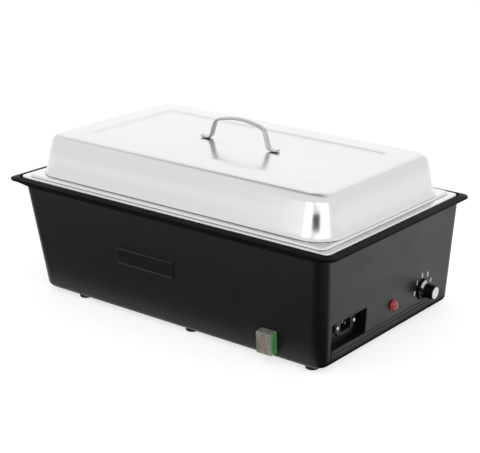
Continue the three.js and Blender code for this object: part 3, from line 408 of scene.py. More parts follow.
# Surfaces by the record's material slots, and four more that are used beside them
LOOKS = {
    "black_plastic": Surface("moulded_black", (0.0025, 0.0025, 0.0025), 0.4, Specular_IOR_Level=0.43)
    .mottle(9, 0.08)
    .gloss(35, 0.04),
    "rim_black": Surface("rim_black", (0.005, 0.005, 0.005), 0.35, Specular_IOR_Level=0.02)
    .coat(0.05, 0.12)
    .mottle(20, 0.1)
    .gloss(60, 0.04),
    "knob_plastic": Surface("smooth_black", (0.004, 0.004, 0.004), 0.3, Specular_IOR_Level=0.2)
    .mottle(60, 0.1)
    .gloss(120, 0.05)
    .grain(2500, 0.006),
    "inlet_plastic": Surface("matt_black", (0.012, 0.012, 0.013), 0.38, Specular_IOR_Level=0.4)
    .mottle(60, 0.1)
    .gloss(90, 0.05)
    .grain(1800, 0.012),
    "lid_steel": Surface("lid_steel", (0.705, 0.705, 0.71), 0.2, 1.0, Anisotropic=0.3)
    .mottle(6, 0.012)
    .gloss(500, 0.02, BRUSHED)
    .grain(9, 0.12),
    "brushed_steel": Surface("pressed_steel", (0.74, 0.74, 0.745), 0.24, 1.0, Anisotropic=0.2)
    .mottle(8, 0.02)
    .gloss(400, 0.03, BRUSHED)
    .grain(14, 0.06),
    "dull_steel": Surface("plated_steel", (0.42, 0.43, 0.44), 0.45, 1.0)
    .mottle(40, 0.1)
    .gloss(90, 0.08)
    .grain(700, 0.01),
    "screw_steel": Surface("bright_screw", (0.78, 0.78, 0.79), 0.22, 1.0)
    .mottle(200, 0.05)
    .gloss(400, 0.05),
    "chrome": Surface("polished_chrome", (0.48, 0.485, 0.495), 0.07, 1.0)
    .mottle(30, 0.01)
    .gloss(60, 0.02)
    .grain(40, 0.004),
    "satin_metal": Surface("satin_cap", (0.66, 0.66, 0.67), 0.32, 1.0)
    .mottle(300, 0.05)
    .gloss(600, 0.06),
    "aluminium": Surface("mill_aluminium", (0.55, 0.56, 0.57), 0.42, 1.0)
    .mottle(20, 0.05)
    .gloss(60, 0.06)
    .grain(600, 0.008, BRUSHED),
    "brass": Surface("plain_brass", (0.62, 0.43, 0.17), 0.3, 1.0)
    .mottle(150, 0.08)
    .gloss(300, 0.06),
    "rubber": Surface("black_rubber", (0.014, 0.014, 0.014), 0.75, Specular_IOR_Level=0.3)
    .mottle(80, 0.15)
    .gloss(200, 0.06)
    .grain(1200, 0.03),
    "silicone": Surface("grey_silicone", (0.42, 0.40, 0.36), 0.7)
    .mottle(60, 0.06)
    .gloss(200, 0.05)
    .grain(1500, 0.03),
    "grey_plastic": Surface("dark_grey_plastic", (0.05, 0.05, 0.055), 0.5)
    .mottle(60, 0.08)
    .gloss(200, 0.05)
    .grain(1500, 0.015),
    "white_plastic": Surface("white_plastic", (0.78, 0.78, 0.76), 0.5)
    .mottle(80, 0.03)
    .gloss(200, 0.05),
    "wire_sleeve": Surface("wire_sleeve", (0.09, 0.09, 0.10), 0.55)
    .mottle(80, 0.1)
    .gloss(200, 0.06)
    .grain(900, 0.02),
    "green_plastic": Surface("green_rocker", (0.03, 0.30, 0.06), 0.25, Coat_Weight=0.4)
    .mottle(120, 0.08)
    .gloss(200, 0.04),
    "red_lens": Surface("red_lens", (0.46, 0.012, 0.04), 0.07, Specular_IOR_Level=0.8)
    .mottle(60, 0.06),
    "clear_plastic": Surface("clear_cover", (0.80, 0.78, 0.73), 0.22, Transmission_Weight=0.82, IOR=1.38)
    .mottle(70, 0.05)
    .gloss(150, 0.06)
    .grain(300, 0.02),
    "cover_front": Surface("cover_front", (0.52, 0.46, 0.41), 0.35, Transmission_Weight=0.5, IOR=1.38)
    .mottle(150, 0.25, UPRIGHT_STREAKS)
    .gloss(150, 0.06)
    .grain(300, 0.03),
    # Side faces of the clear cover: the green of the rocker, seen through them, is painted into their
    # colour
    "cover_side_painted_green": Surface("cover_side_painted_green", (0.26, 0.78, 0.28), 0.25, Transmission_Weight=0.6, IOR=1.38)
    .mottle(60, 0.08)
    .gloss(150, 0.06),
    "badge_edge": Surface("badge_edge", (0.07, 0.07, 0.074), 0.35, 1.0)
    .mottle(60, 0.1)
    .gloss(150, 0.05),
    "badge_finish": Surface("badge_face", (0.006, 0.006, 0.007), 0.22, Specular_IOR_Level=0.35)
    .mottle(60, 0.1)
    .gloss(150, 0.04),
}


def dress_nodes():
    """Each CAD node takes the material of its slot in the record."""
    for entry in frame["record"]["subparts"]:
        materials = frame["nodes"][entry["node"]].data.materials
        materials.clear()
        materials.append(LOOKS[entry["material_slot"]].material)


def dress(piece, body, slot, nodes=(), looks=(), even=True):
    """Gives a piece its body, slot and looks, and hides the CAD nodes that it stands for."""
    for look in looks or [slot]:
        piece.data.materials.append(LOOKS[look].material)
    if even:
        weigh = piece.modifiers.new("even", "WEIGHTED_NORMAL")
        weigh.keep_sharp = True
        weigh.weight = 90
    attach(piece, body)
    if nodes:
        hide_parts(*nodes)


# Casing

FOOT_HEIGHT = 5.2
WALL = 3
FILLET = 8
FILLET_STEPS = 10
LEFT_REACH = 230.4
LEFT_FLARE = 29.2
RIGHT_REACH = 270.4
RIGHT_FLARE = 5.1
SIDE_REACH = 168.6
SIDE_FLARE = 11.2
CASING_CORNER = 19

# Rim: its underside with the cove below it, its edge, and the lip towards the flange
RIM_UNDER = 162
RIM_TOP = 167.6
RIM_ROUND = 2.4
EDGE_ROUND = 1.4
COVE = 4
COVE_SHARES = (0.08, 0.2, 0.5, 0.8, 0.93)
COVE_BEND = 0.85
LIP_FALL = 2.2
LIP_SLOPE = 0.5
LIP_WIDE = 3.2
LIP_GAP = 2.4
LIP_INSETS_AND_FALLS = ((-0.9, 0), (-0.2, 0.1), (0, 0.4))
LEDGE = 163
OPENING_MARGIN = 1.8

# Floor: what is left of it round the base plate's opening
FLOOR_WIDE = 44
FLOOR_CORNER = 14
REBATE_WIDE = 9.3
REBATE_DEEP = 1.5

# Band: measured from its top edge and from the wall's face
BAND_TOP = FOOT_HEIGHT + 21.5
BAND_TALL = 13
BAND_MARGIN = 22
BAND_BACK = -1.5
BAND_FACE = 0.8
GROOVE_FLOOR = -0.3
GROOVE_UPPER = -4.2
GROOVE_LOWER = -5.2
GROOVE_SLANT = 0.2
BAND_SLANT = 0.4

CASING_RISE = RIM_UNDER - FOOT_HEIGHT
WALL_TOP = RIM_UNDER - COVE
BASIN_TOP = 168.2
RIM = centred(578, 362.8, 14, RIM_TOP)
FLANGE = centred(552.8, 337.6, 10, BASIN_TOP)
BASIN = centred(509, 310, 46, BASIN_TOP)


def casing_outline(z):
    share = (z - FOOT_HEIGHT) / CASING_RISE
    left = LEFT_REACH + LEFT_FLARE * share
    right = RIGHT_REACH + RIGHT_FLARE * share
    half = SIDE_REACH + SIDE_FLARE * share
    return section(-left, right, half, CASING_CORNER, z)


def wall_outlines(thickness, top):
    """The rounded bottom edge and the wall above it, drawn in by a thickness."""
    fillet = FILLET - thickness
    outlines = []
    for sine, cosine in quarter(FILLET_STEPS):
        z = FOOT_HEIGHT + thickness + fillet * (1 - cosine)
        outlines.append(drawn_in(casing_outline(z), thickness + fillet * (1 - sine)))
    outlines.append(drawn_in(casing_outline(top), thickness))
    return outlines


def wall_frame(origin, across, up):
    """Local x runs across the wall, y up it and z out of it."""
    out = across.cross(up).normalized()
    upright = out.cross(across)
    matrix = Matrix((across, upright, out)).transposed().to_4x4()
    matrix.translation = origin
    return matrix


def end_frame(y, z):
    lean = RIGHT_FLARE / CASING_RISE
    origin = Vector((casing_outline(z)[1], y, z))
    return wall_frame(origin, Vector((0, 1, 0)), Vector((lean, 0, 1)).normalized())


def front_frame(x, z):
    lean = SIDE_FLARE / CASING_RISE
    origin = Vector((x, -casing_outline(z)[2], z))
    return wall_frame(origin, Vector((1, 0, 0)), Vector((0, -lean, 1)).normalized())


# Places of the controls on the walls
KNOB = end_frame(y=84.6, z=45)
LAMP = end_frame(y=3.5, z=46)
POCKET = end_frame(y=-106.7, z=45.6)
INLET = end_frame(y=-96.9, z=47)
SWITCH = front_frame(x=188, z=29.2)
BADGE = front_frame(x=-24, z=90.3)

# Holes: how far the cuts reach out of a wall, through it, and through the pocket
CUT_OUT = 5
CUT_IN = -6
POCKET_CUT = -20
POCKET_CUT_NEAR = -10
HOLE_CORNER = 0.5
KNOB_BORE = 5.1

# Inlet's pocket
POCKET_WIDE = 82.5
POCKET_TALL = 36.5
POCKET_CORNER = 1.6
POCKET_WALL = 2.2
POCKET_FLOOR = -14.7
POCKET_EDGE = 0.9
POCKET_BEVEL = 0.4
POCKET_ROLL = 0.5
ROLL_SHARES = ((0, 1), (0.3, 0.24), (1, 0))
FLOOR_ROLL_SHARES = ((0, 1), (0.3, 0.3), (1, 0))

# Pieces that pass through a wall
INLET_BODY_WIDE = 27.4
INLET_BODY_TALL = 20.4
INLET_SCREWS = (-20, 20)
SCREW_RADIUS = 1.6
SWITCH_WIDE = 20.6
SWITCH_TALL = 26.6
LAMP_NECK = 5.2


def inlet_recess():
    """The cup in the end wall, its mouth rounded over to the wall's face."""
    mouth = centred(POCKET_WIDE, POCKET_TALL, POCKET_CORNER, 0)
    outside = section(*drawn_in(mouth, -POCKET_WALL)[:3], POCKET_CORNER, 0)
    under = POCKET_FLOOR - POCKET_WALL
    outlines = [drawn_in(outside, POCKET_BEVEL, under), drawn_in(outside, 0, under + POCKET_BEVEL)]
    for inset, fall in ROLL_SHARES:
        outlines.append(drawn_in(outside, inset * POCKET_ROLL, -fall * POCKET_ROLL))
    for sine, cosine in quarter(4):
        outlines.append(drawn_in(mouth, -POCKET_EDGE * (1 - sine), -POCKET_EDGE * (1 - cosine)))
    for inset, rise in FLOOR_ROLL_SHARES:
        outlines.append(drawn_in(mouth, inset, POCKET_FLOOR + rise))
    cup = solid("inlet_cup", placed(loft(outlines, steps=SMALL_STEPS), POCKET))
    gap = 2 * SEAM
    depths = (POCKET_CUT, POCKET_CUT_NEAR)
    cuts = [plug(INLET_BODY_WIDE + gap, INLET_BODY_TALL + gap, HOLE_CORNER, *depths, INLET)]
    for x in INLET_SCREWS:
        cuts.append(pin(SCREW_RADIUS + SEAM, *depths, INLET @ shifted(x)))
    carve(cup, cuts)
    dress(cup, "root", "black_plastic", ["inlet_recess"])


def band():
    """The low band along the foot of the end wall, with a groove near its top."""
    foot = -BAND_TALL
    profile = rounded(
        (BAND_BACK, 0, 0),
        (BAND_FACE, 0, 0.5),
        (BAND_FACE, GROOVE_UPPER, 0.3),
        (GROOVE_FLOOR, GROOVE_UPPER - GROOVE_SLANT, 0),
        (GROOVE_FLOOR, GROOVE_LOWER + GROOVE_SLANT, 0),
        (BAND_FACE, GROOVE_LOWER, 0.3),
        (BAND_FACE, foot, 1.0),
        (BAND_BACK, foot - BAND_SLANT, 0),
    )
    half = SIDE_REACH - BAND_MARGIN
    rings = [[(end, up, out) for out, up in profile] for end in (-half, half)]
    made = solid("casing_band", placed(skin(rings), end_frame(0, BAND_TOP)))
    dress(made, "root", "black_plastic")


def casing_outlines():
    """Rings up the outside, over the rim, down the inside and round the floor's opening."""
    outlines = wall_outlines(0, WALL_TOP)
    wall_top = outlines[-1]
    rim_foot = drawn_in(RIM, RIM_ROUND, RIM_UNDER)
    for share in COVE_SHARES:
        outlines.append(between(wall_top, rim_foot, share, WALL_TOP + COVE * share**COVE_BEND))
    edge_top = RIM_TOP - LIP_FALL
    profile = rounded(
        (RIM_ROUND, RIM_UNDER, 0),
        (0, RIM_UNDER, RIM_ROUND),
        (0, edge_top, EDGE_ROUND),
        (LIP_WIDE, edge_top + LIP_SLOPE, 0),
    )
    outlines.extend(drawn_in(RIM, inset, z) for inset, z in profile)
    nest = drawn_in(FLANGE, -LIP_GAP, LEDGE)
    for inset, fall in LIP_INSETS_AND_FALLS:
        outlines.append(drawn_in(nest, inset, RIM_TOP - fall))
    opening = drawn_in(BASIN, -OPENING_MARGIN, LEDGE)
    lining_top = WALL_TOP - WALL
    outlines += [nest, opening, drawn_in(opening, 0, lining_top)]
    outlines.extend(reversed(wall_outlines(WALL, lining_top)))
    bottom = drawn_in(casing_outline(FOOT_HEIGHT), FLOOR_WIDE)
    mouth = section(*bottom[:3], FLOOR_CORNER, FOOT_HEIGHT)
    rebate = drawn_in(mouth, -REBATE_WIDE)
    step = FOOT_HEIGHT + REBATE_DEEP
    outlines += [drawn_in(mouth, 0, FOOT_HEIGHT + WALL), drawn_in(mouth, 0, step)]
    outlines += [drawn_in(rebate, 0, step), rebate]
    return outlines


def casing():
    shell = solid("casing_shell", loft(casing_outlines(), loop=True))
    gap = 2 * SEAM
    room = 2 * POCKET_WALL + gap
    cuts = [
        plug(POCKET_WIDE + room, POCKET_TALL + room, POCKET_CORNER, POCKET_CUT, CUT_OUT, POCKET),
        plug(SWITCH_WIDE + gap, SWITCH_TALL + gap, HOLE_CORNER, CUT_IN, CUT_OUT, SWITCH),
        pin(KNOB_BORE, CUT_IN, CUT_OUT, KNOB),
        pin(LAMP_NECK + SEAM, CUT_IN, CUT_OUT, LAMP),
    ]
    carve(shell, cuts)
    dress(shell, "root", "black_plastic", ["casing"], ["black_plastic", "rim_black"])
    for face in shell.data.polygons:
        face.material_index = int(face.center.z > WALL_TOP * MM)
    band()


# Trays

DRAFT = 0.17
MOUTH_STEPS = 4
FLANGE_LAP = 6
LEAST_BEND = 0.6
BEND_ROUND = 1.4
BEND_LEAD = 3
BASIN_FLOOR = 73
PAN_TOP = 171.5
PAN_DEPTH = 65
PAN_FLANGE = centred(530, 325, 11, PAN_TOP)
PAN_BODY = centred(507, 302, 44, PAN_TOP)
STUD_RADIUS = 2.4
STUD_TIP = 2.0
STUD_BEVEL = 0.5
STUD_LOW = 50.5
STUD_TOP = BASIN_FLOOR - 0.5
STUD_PLACES = [(x, y) for x in (-96, 56) for y in (-95, 95)]


def tray_outlines(outline, top, floor, fillet, spread):
    """The rounded edge of a tray's floor, the last ring level with the foot of its wall."""
    outlines = []
    for sine, cosine in quarter(FILLET_STEPS):
        z = floor + fillet * (1 - cosine)
        inwards = (top - z) * DRAFT + fillet * (1 - sine)
        outlines.append(drawn_in(outline, inwards - spread, z))
    return outlines


def tray(name, outline, flange, floor, fillet, edge, edge_round, mouth_round):
    """A pressed tray as one sheet: floor, walls, rounded mouth, flange and its turned-down edge."""
    top = flange[4]
    under = top - SHEET
    rings = tray_outlines(outline, top, floor - SHEET, fillet + SHEET, 0)
    rings.append(drawn_in(outline, mouth_round * DRAFT, under - mouth_round))
    for sine, cosine in quarter(MOUTH_STEPS, 1):
        rings.append(drawn_in(outline, mouth_round * (cosine - 1), under - mouth_round * (1 - sine)))
    profile = rounded(
        (edge + FLANGE_LAP, under, 0),
        (SHEET, under, max(edge_round - SHEET, LEAST_BEND)),
        (SHEET, top - edge, 0.3),
        (0, top - edge, 0.2),
        (edge_round, top, BEND_ROUND),
        (edge_round + BEND_LEAD, top, 0),
    )
    rings.extend(drawn_in(flange, inset, z) for inset, z in profile)
    bend = mouth_round + SHEET
    for sine, cosine in quarter(MOUTH_STEPS):
        rings.append(drawn_in(outline, SHEET - bend * (1 - sine), top - bend * (1 - cosine)))
    rings.extend(reversed(tray_outlines(outline, top, floor, fillet, -SHEET)))
    return solid(name, loft(rings))


def trays():
    basin = tray(
        "basin_tray", BASIN, FLANGE, BASIN_FLOOR, fillet=14, edge=4.4, edge_round=1.6, mouth_round=3
    )
    dress(basin, "root", "brushed_steel", ["water_basin"])
    profile = (
        (0, STUD_LOW),
        (STUD_TIP, STUD_LOW),
        (STUD_RADIUS, STUD_LOW + STUD_BEVEL),
        (STUD_RADIUS, STUD_TOP),
        (0, STUD_TOP),
    )
    studs = [placed(turned(profile, 24), shifted(x, y)) for x, y in STUD_PLACES]
    dress(solid("basin_studs", together(*studs)), "root", "dull_steel")
    floor = PAN_TOP - PAN_DEPTH
    pan = tray("pan_tray", PAN_BODY, PAN_FLANGE, floor, fillet=15, edge=3, edge_round=2.6, mouth_round=3)
    dress(pan, "pan", "brushed_steel", ["food_pan"])


# Lid

LID_FOOT = 171.8
LID = centred(525.6, 307, 42, LID_FOOT)
LID_HEM = 2.2
LINING_START = LID_FOOT + 4

# Insets and heights above the foot up the wall; the last point only gives the curve its direction
LID_WALL = [(0.4, 1.2), (1.3, 2.5), (2.4, 4.8), (3.5, 8), (4.65, 12), (5.7, 16.5), (6.6, 21)]
LID_WALL += [(7.4, 25.5), (8.15, 30), (9, 34.5), (10, 38.8), (11.1, 43), (12.4, 48)]
LID_WALL_STEPS = 4
SHOULDER = 231.2
SHOULDER_RADIUS = 17
SHOULDER_INSET = 11.45
SHOULDER_STEPS = 14
SHOULDER_FIRST = 3

# Top: a slightly raised border and a sunk panel
CROWN = SHOULDER + 1.2
CROWN_OUTS_AND_FALLS = ((18, 0.6), (4, 0.08))
PANEL = 229.6
PANEL_INSET = 60.5
PANEL_CORNER = 3.5
PANEL_SLOPE = 8
PANEL_STEPS = 8
PANEL_FLAT = 14
PANEL_DISH = 0.02


def lid_profile():
    """Insets and heights of the lid's outside, from the foot of its wall to the panel."""
    points = rounded(
        (1.6, LID_FOOT, 0),
        (0, LID_FOOT, 0.5),
        (0, LID_FOOT + 0.9, 0.3),
        (0.4, LID_FOOT + 1.2, 0),
    )
    wall = smooth_line([Vector((inset, LID_FOOT + up)) for inset, up in LID_WALL], LID_WALL_STEPS)
    points.extend((point.x, point.y) for point in wall[1:-LID_WALL_STEPS])
    for sine, cosine in quarter(SHOULDER_STEPS, SHOULDER_FIRST):
        inset = SHOULDER_INSET + SHOULDER_RADIUS * (1 - cosine)
        points.append((inset, SHOULDER - SHOULDER_RADIUS * (1 - sine)))
    for out, fall in CROWN_OUTS_AND_FALLS:
        points.append((PANEL_INSET - out, CROWN - fall))
    for step in range(PANEL_STEPS + 1):
        share = step / PANEL_STEPS
        points.append((PANEL_INSET + PANEL_SLOPE * share, CROWN + (PANEL - CROWN) * eased(share)))
    points.append((PANEL_INSET + PANEL_FLAT, PANEL - PANEL_DISH))
    return points


def lid_outline(inset, z):
    """The lid's outline drawn in; its corners get no sharper than the panel's."""
    left, right, half, radius, _ = LID
    corner = max(radius - inset, PANEL_CORNER)
    return section(left + inset, right - inset, half - inset, corner, z)


def lid():
    profile = lid_profile()
    inside = [lid_outline(LID_HEM, LID_FOOT)]
    inside.extend(lid_outline(inset + SHEET, z - SHEET) for inset, z in profile if z > LINING_START)
    outside = [lid_outline(inset, z) for inset, z in profile]
    cover = solid("lid_cover", loft([*reversed(inside), *outside]))
    dress(cover, "lid_body", "lid_steel", ["lid"])


# Handle

HANDLE_SHIFT = 6
HANDLE_STEPS = 6
HANDLE_SIDES = 24
HANDLE_SQUARE = 0.8
BOW_WIDE = 4.75
BOW_TALL = 2.3
FOOT_WIDE = 5.95
FOOT_TALL = 1.5
FLAT_FROM = 48
FLAT_OVER = 8
TIP_FROM = 66
TIP_REACH = 4.2
TIP_LEAST_SHARE = 0.02

# Right half of the bow from its middle, then its foot: distance from the middle, and height
BOW_LEVEL = PANEL + 32
BOW_POINTS = ((0, 5.3), (14, 4.4), (28, 2.0), (38, -0.6), (43.5, -4.5), (46.5, -11), (49, -19))
FOOT_LEVEL = PANEL + SEAM + FOOT_TALL
FOOT_POINTS = ((51, 5), (54, 1.0), (58, 0), (63, 0), (67, 0.2), (69.3, 1.3))


def handle_line():
    """Centre points of the handle from its left tip to its right tip."""
    half = [(x, BOW_LEVEL + up) for x, up in BOW_POINTS]
    half += [(x, FOOT_LEVEL + up) for x, up in FOOT_POINTS]
    points = [(-x, z) for x, z in reversed(half)] + half[1:]
    return [Vector((x + HANDLE_SHIFT, 0, z)) for x, z in points]


def squared(value):
    """A sine or cosine changed so that a circle becomes a slightly squared round."""
    return math.copysign(abs(value) ** HANDLE_SQUARE, value)


def handle_ring(centre, side, up, wide, tall):
    """The handle's cross-section about one centre, of a half width and a half height."""
    points = []
    for step in range(HANDLE_SIDES):
        angle = step / HANDLE_SIDES * 2 * math.pi
        across = side * (wide * squared(math.cos(angle)))
        points.append(tuple(centre + across + up * (tall * squared(math.sin(angle)))))
    return points


def handle():
    line = smooth_line(handle_line(), HANDLE_STEPS)
    side = Vector((0, 1, 0))
    rings = []
    for place, centre in enumerate(line):
        ahead = line[min(place + 1, len(line) - 1)] - line[max(place - 1, 0)]
        ahead.normalize()
        reach = abs(centre.x - HANDLE_SHIFT)
        flat = eased(min(max((reach - FLAT_FROM) / FLAT_OVER, 0), 1))
        wide = BOW_WIDE + (FOOT_WIDE - BOW_WIDE) * flat
        tall = BOW_TALL + (FOOT_TALL - BOW_TALL) * flat
        if reach > TIP_FROM:
            wide *= math.sqrt(max(1 - ((reach - TIP_FROM) / TIP_REACH) ** 2, TIP_LEAST_SHARE))
        rings.append(handle_ring(centre, side, ahead.cross(side), wide, tall))
    dress(solid("handle_bow", skin(rings)), "lid_body", "chrome", ["lid_handle"])


# Knob: radii, and heights out of the wall

SKIRT = 15.2
SKIRT_LOW = 1.0
SKIRT_HIGH = 3.6
GRIP = 10.4
GRIP_LOW = 7.6
GRIP_TIP = 9.9
GRIP_HIGH = 20.2
CAP_SEAT = 8.9
CAP_SEAT_LEVEL = 19.9
CAP = 8.6
CAP_LOW = 20.0
SHAFT_ROOM = 3.3
SHAFT_ROOM_TOP = 15.3
HOLLOW_TOP = 4.4


def knob():
    """The skirt and grip with a seat for the bright cap, and a bore for the shaft."""
    grip = rounded(
        (GRIP, SKIRT_LOW, 0),
        (SKIRT, SKIRT_LOW, 0.4),
        (SKIRT, SKIRT_HIGH, 1.0),
        (12.2, SKIRT_HIGH + 0.2, 0.6),
        (GRIP, GRIP_LOW, 1.5),
        (GRIP_TIP, GRIP_HIGH, 0.7),
        (CAP_SEAT, GRIP_HIGH, 0.15),
        (CAP_SEAT, CAP_SEAT_LEVEL, 0),
        (0, CAP_SEAT_LEVEL, 0),
    )
    hollow = [(0, SHAFT_ROOM_TOP), (SHAFT_ROOM, SHAFT_ROOM_TOP)]
    hollow += [(SHAFT_ROOM, HOLLOW_TOP), (GRIP, HOLLOW_TOP)]
    body = solid("knob_grip", placed(turned(hollow + grip), KNOB))
    dress(body, "control_knob", "knob_plastic", ["knob"])
    cap = rounded(
        (0, CAP_LOW, 0),
        (CAP, CAP_LOW, 0.1),
        (CAP + 0.1, CAP_LOW + 1.2, 0.5),
        (CAP - 1, CAP_LOW + 1.3, 0.3),
        (0, CAP_LOW + 1.1, 0),
    )
    disc = solid("knob_end_cap", placed(turned(cap), KNOB))
    dress(disc, "control_knob", "satin_metal", ["knob_cap"])
    knob_marks()


# Marks on the skirt, as radii and heights, and the angles between which the arc runs
ARC_PROFILE = ((14.8, 3.4), (14.8, 3.76), (12.3, 3.95), (11.3, 6.0), (11.0, 5.8), (12.0, 3.5))
ARC_START = -12
ARC_END = 58
ARC_RINGS = 24
DOT_PROFILE = ((0, 3.5), (0.9, 3.5), (0.9, 3.76), (0, 3.8))
DOT_REACH = 13.6


def knob_marks():
    """The bright arc on the skirt and the dot that points at the scale."""
    rings = []
    for step in range(ARC_RINGS + 1):
        angle = math.radians(ARC_START + (ARC_END - ARC_START) * step / ARC_RINGS)
        across, rise = -math.sin(angle), math.cos(angle)
        rings.append([(across * radius, rise * radius, z) for radius, z in ARC_PROFILE])
    dot = placed(turned(DOT_PROFILE, 20), shifted(-DOT_REACH))
    marks = solid("knob_marks", placed(together(skin(rings), dot), KNOB))
    dress(marks, "control_knob", "white_plastic", even=False)


DIAL_NUMBERS = 6
DIAL_STEP = 40
DIAL_RADIUS = 22.6
NUMBER_SIZE = 8.6
NUMBER_THICK = 0.03
NUMBER_BOLD = 0.6


def dial_numbers():
    """Plain numbers round the knob, 0 at nine o'clock and then clockwise."""
    for number in range(DIAL_NUMBERS):
        angle = math.radians(90 - DIAL_STEP * number)
        curve = bpy.data.curves.new(f"dial_{number}", "FONT")
        curve.body = str(number)
        curve.size = NUMBER_SIZE * MM
        curve.align_x = "CENTER"
        curve.align_y = "CENTER"
        curve.extrude = NUMBER_THICK * MM
        curve.offset = NUMBER_BOLD * MM
        text = linked(f"dial_text_{number}", curve)
        spot = Vector((-math.sin(angle) * DIAL_RADIUS, math.cos(angle) * DIAL_RADIUS, NUMBER_THICK))
        scale = Vector((1, 1, 1))
        text.matrix_world = Matrix.LocRotScale((KNOB @ spot) * MM, KNOB.to_quaternion(), scale)
        mesh = baked(text)
        mesh.transform(text.matrix_world)
        bpy.data.objects.remove(text)
        mesh.materials.clear()
        mark = linked(f"dial_number_{number}", mesh)
        dress(mark, "root", "white_plastic", even=False)


# Pilot lamp

LAMP_BACK = -9
LAMP_RIM = 8.4
LAMP_RIM_TOP = 2.0
LAMP_DOME = 7.4
LAMP_DOME_RISE = 5.6


def lamp():
    profile = rounded(
        (0, LAMP_BACK, 0),
        (LAMP_NECK, LAMP_BACK, 0),
        (LAMP_NECK, SEAM, 0),
        (LAMP_RIM, SEAM, 0.2),
        (LAMP_RIM, LAMP_RIM_TOP - 0.4, 0.7),
        (LAMP_DOME + 0.1, LAMP_RIM_TOP, 0.3),
    )
    profile += dome(LAMP_DOME, LAMP_DOME_RISE, LAMP_RIM_TOP, 12)
    lens = solid("lamp_dome", placed(turned(profile, 64), LAMP))
    dress(lens, "root", "red_lens", ["pilot_lamp_lens"])


# Mains inlet: half sizes, and levels out of the wall's face

INLET_TIP = 25
INLET_TIP_TALL = 4.5
INLET_FLAT = 13.5
INLET_TALL = 14
INLET_ROUND = 2.5
INLET_EDGE_SHARES = (0.985, 0.97)
INLET_BACK = -31
INLET_BODY_TOP = -13
INLET_LEVELS = (-14.4, -12.5, -12.0)
SOCKET_WIDE = 12
SOCKET_TALL = 8.2
SOCKET_CHAMFER = 4.5
SOCKET_LEVELS_AND_SHARES = ((-28, 1), (-12.6, 1), (-11.9, 1.05), (-9, 1.1))


def inlet():
    """The moulded inlet: a flat flange with pointed ends and a deep socket, edges softened."""
    lower = [(-INLET_TIP, -INLET_TIP_TALL), (-INLET_FLAT, -INLET_TALL)]
    lower += [(-x, y) for x, y in reversed(lower)]
    corners = lower + [(-x, -y) for x, y in lower]
    outline = rounded(*[(x, y, INLET_ROUND) for x, y in corners], closed=True, steps=4)
    across, upwards = INLET_EDGE_SHARES
    softened = [(x * across, y * upwards) for x, y in outline]
    levels = zip((outline, outline, softened), INLET_LEVELS)
    flange = skin([[(x, y, z) for x, y in points] for points, z in levels])
    block = solid("inlet_moulding", placed(flange, INLET))
    body = plug(INLET_BODY_WIDE, INLET_BODY_TALL, 2, INLET_BACK, INLET_BODY_TOP, INLET, steps=4)
    slant = SOCKET_TALL - SOCKET_CHAMFER
    narrow = SOCKET_WIDE - SOCKET_CHAMFER
    corners = [(-SOCKET_WIDE, -SOCKET_TALL), (SOCKET_WIDE, -SOCKET_TALL), (SOCKET_WIDE, slant)]
    corners += [(narrow, SOCKET_TALL), (-narrow, SOCKET_TALL), (-SOCKET_WIDE, slant)]
    socket = rounded(*[(x, y, 1) for x, y in corners], closed=True, steps=3)
    room = [[(x * share, y * share, z) for x, y in socket] for z, share in SOCKET_LEVELS_AND_SHARES]
    carve(block, [body], "UNION")
    carve(block, [placed(skin(room), INLET)])
    dress(block, "root", "inlet_plastic", ["power_inlet"])


SCREW_TIP = -19.9
HEAD_RADIUS = 2.9
HEAD_LOW = -11.7
HEAD_HIGH = -11.2
HEAD_DOME = 2.7
HEAD_RISE = 1.2
SLOT_LONG = 3.4
SLOT_WIDE = 0.6
SLOT_LOW = -10.9
SLOT_HIGH = -9


def inlet_screws():
    """Domed screw heads with a cross recess on the inlet's flange."""
    profile = rounded(
        (0, SCREW_TIP, 0),
        (SCREW_RADIUS, SCREW_TIP, 0),
        (SCREW_RADIUS, HEAD_LOW, 0),
        (HEAD_RADIUS, HEAD_LOW, 0.2),
        (HEAD_RADIUS, HEAD_HIGH, 0.6),
    )
    profile += dome(HEAD_DOME, HEAD_RISE, HEAD_HIGH, 6)
    for number, x in enumerate(INLET_SCREWS, start=1):
        place = INLET @ shifted(x)
        head = solid(f"inlet_screw_head_{number}", placed(turned(profile, 40), place))
        slots = [
            plug(long, wide, 0.2, SLOT_LOW, SLOT_HIGH, place, steps=2)
            for long, wide in ((SLOT_LONG, SLOT_WIDE), (SLOT_WIDE, SLOT_LONG))
        ]
        carve(head, slots)
        dress(head, "root", "screw_steel", [f"inlet_screw_{number}"])


# Switch: levels are out of the wall's face

BEZEL = centred(23.6, 29.8, 1.5, 0)
BEZEL_TOP = 2.3
SWITCH_BODY = centred(SWITCH_WIDE, SWITCH_TALL, 0.6, 0)
SWITCH_BACK = -21
WELL = centred(17.6, 24.4, 0.6, 0)
WELL_FLOOR = -11
TAB_LONG = 6.3
TAB_WIDE = 0.8
TAB_END = -28
TAB_START = -20.8
TAB_PLACES = [(x, y) for x in (-5.5, 5.5) for y in (-7, 7)]


def switch_frame():
    """The bezel, with its edge rolled over into the well, and the body behind the wall."""
    rim = rounded((0, SEAM, 0), (0, BEZEL_TOP, 1.1), (2.2, BEZEL_TOP, 0))
    rings = [(SWITCH_BODY, 0.5, SWITCH_BACK), (SWITCH_BODY, 0, SWITCH_BACK + 0.5), (SWITCH_BODY, 0, SEAM)]
    rings += [(BEZEL, 0, SEAM), *[(BEZEL, inset, z) for inset, z in rim]]
    rings += [(WELL, -0.6, 2.2), (WELL, -0.2, 2.0), (WELL, 0, 1.6), (WELL, 0, WELL_FLOOR)]
    frame_body = placed(loft([drawn_in(*one) for one in rings], steps=SMALL_STEPS), SWITCH)
    tabs = [
        plug(TAB_LONG, TAB_WIDE, 0.1, TAB_END, TAB_START, SWITCH @ shifted(x, y)) for x, y in TAB_PLACES
    ]
    made = solid("switch_frame", together(frame_body, *tabs))
    dress(made, "root", "inlet_plastic", ["switch_body"])


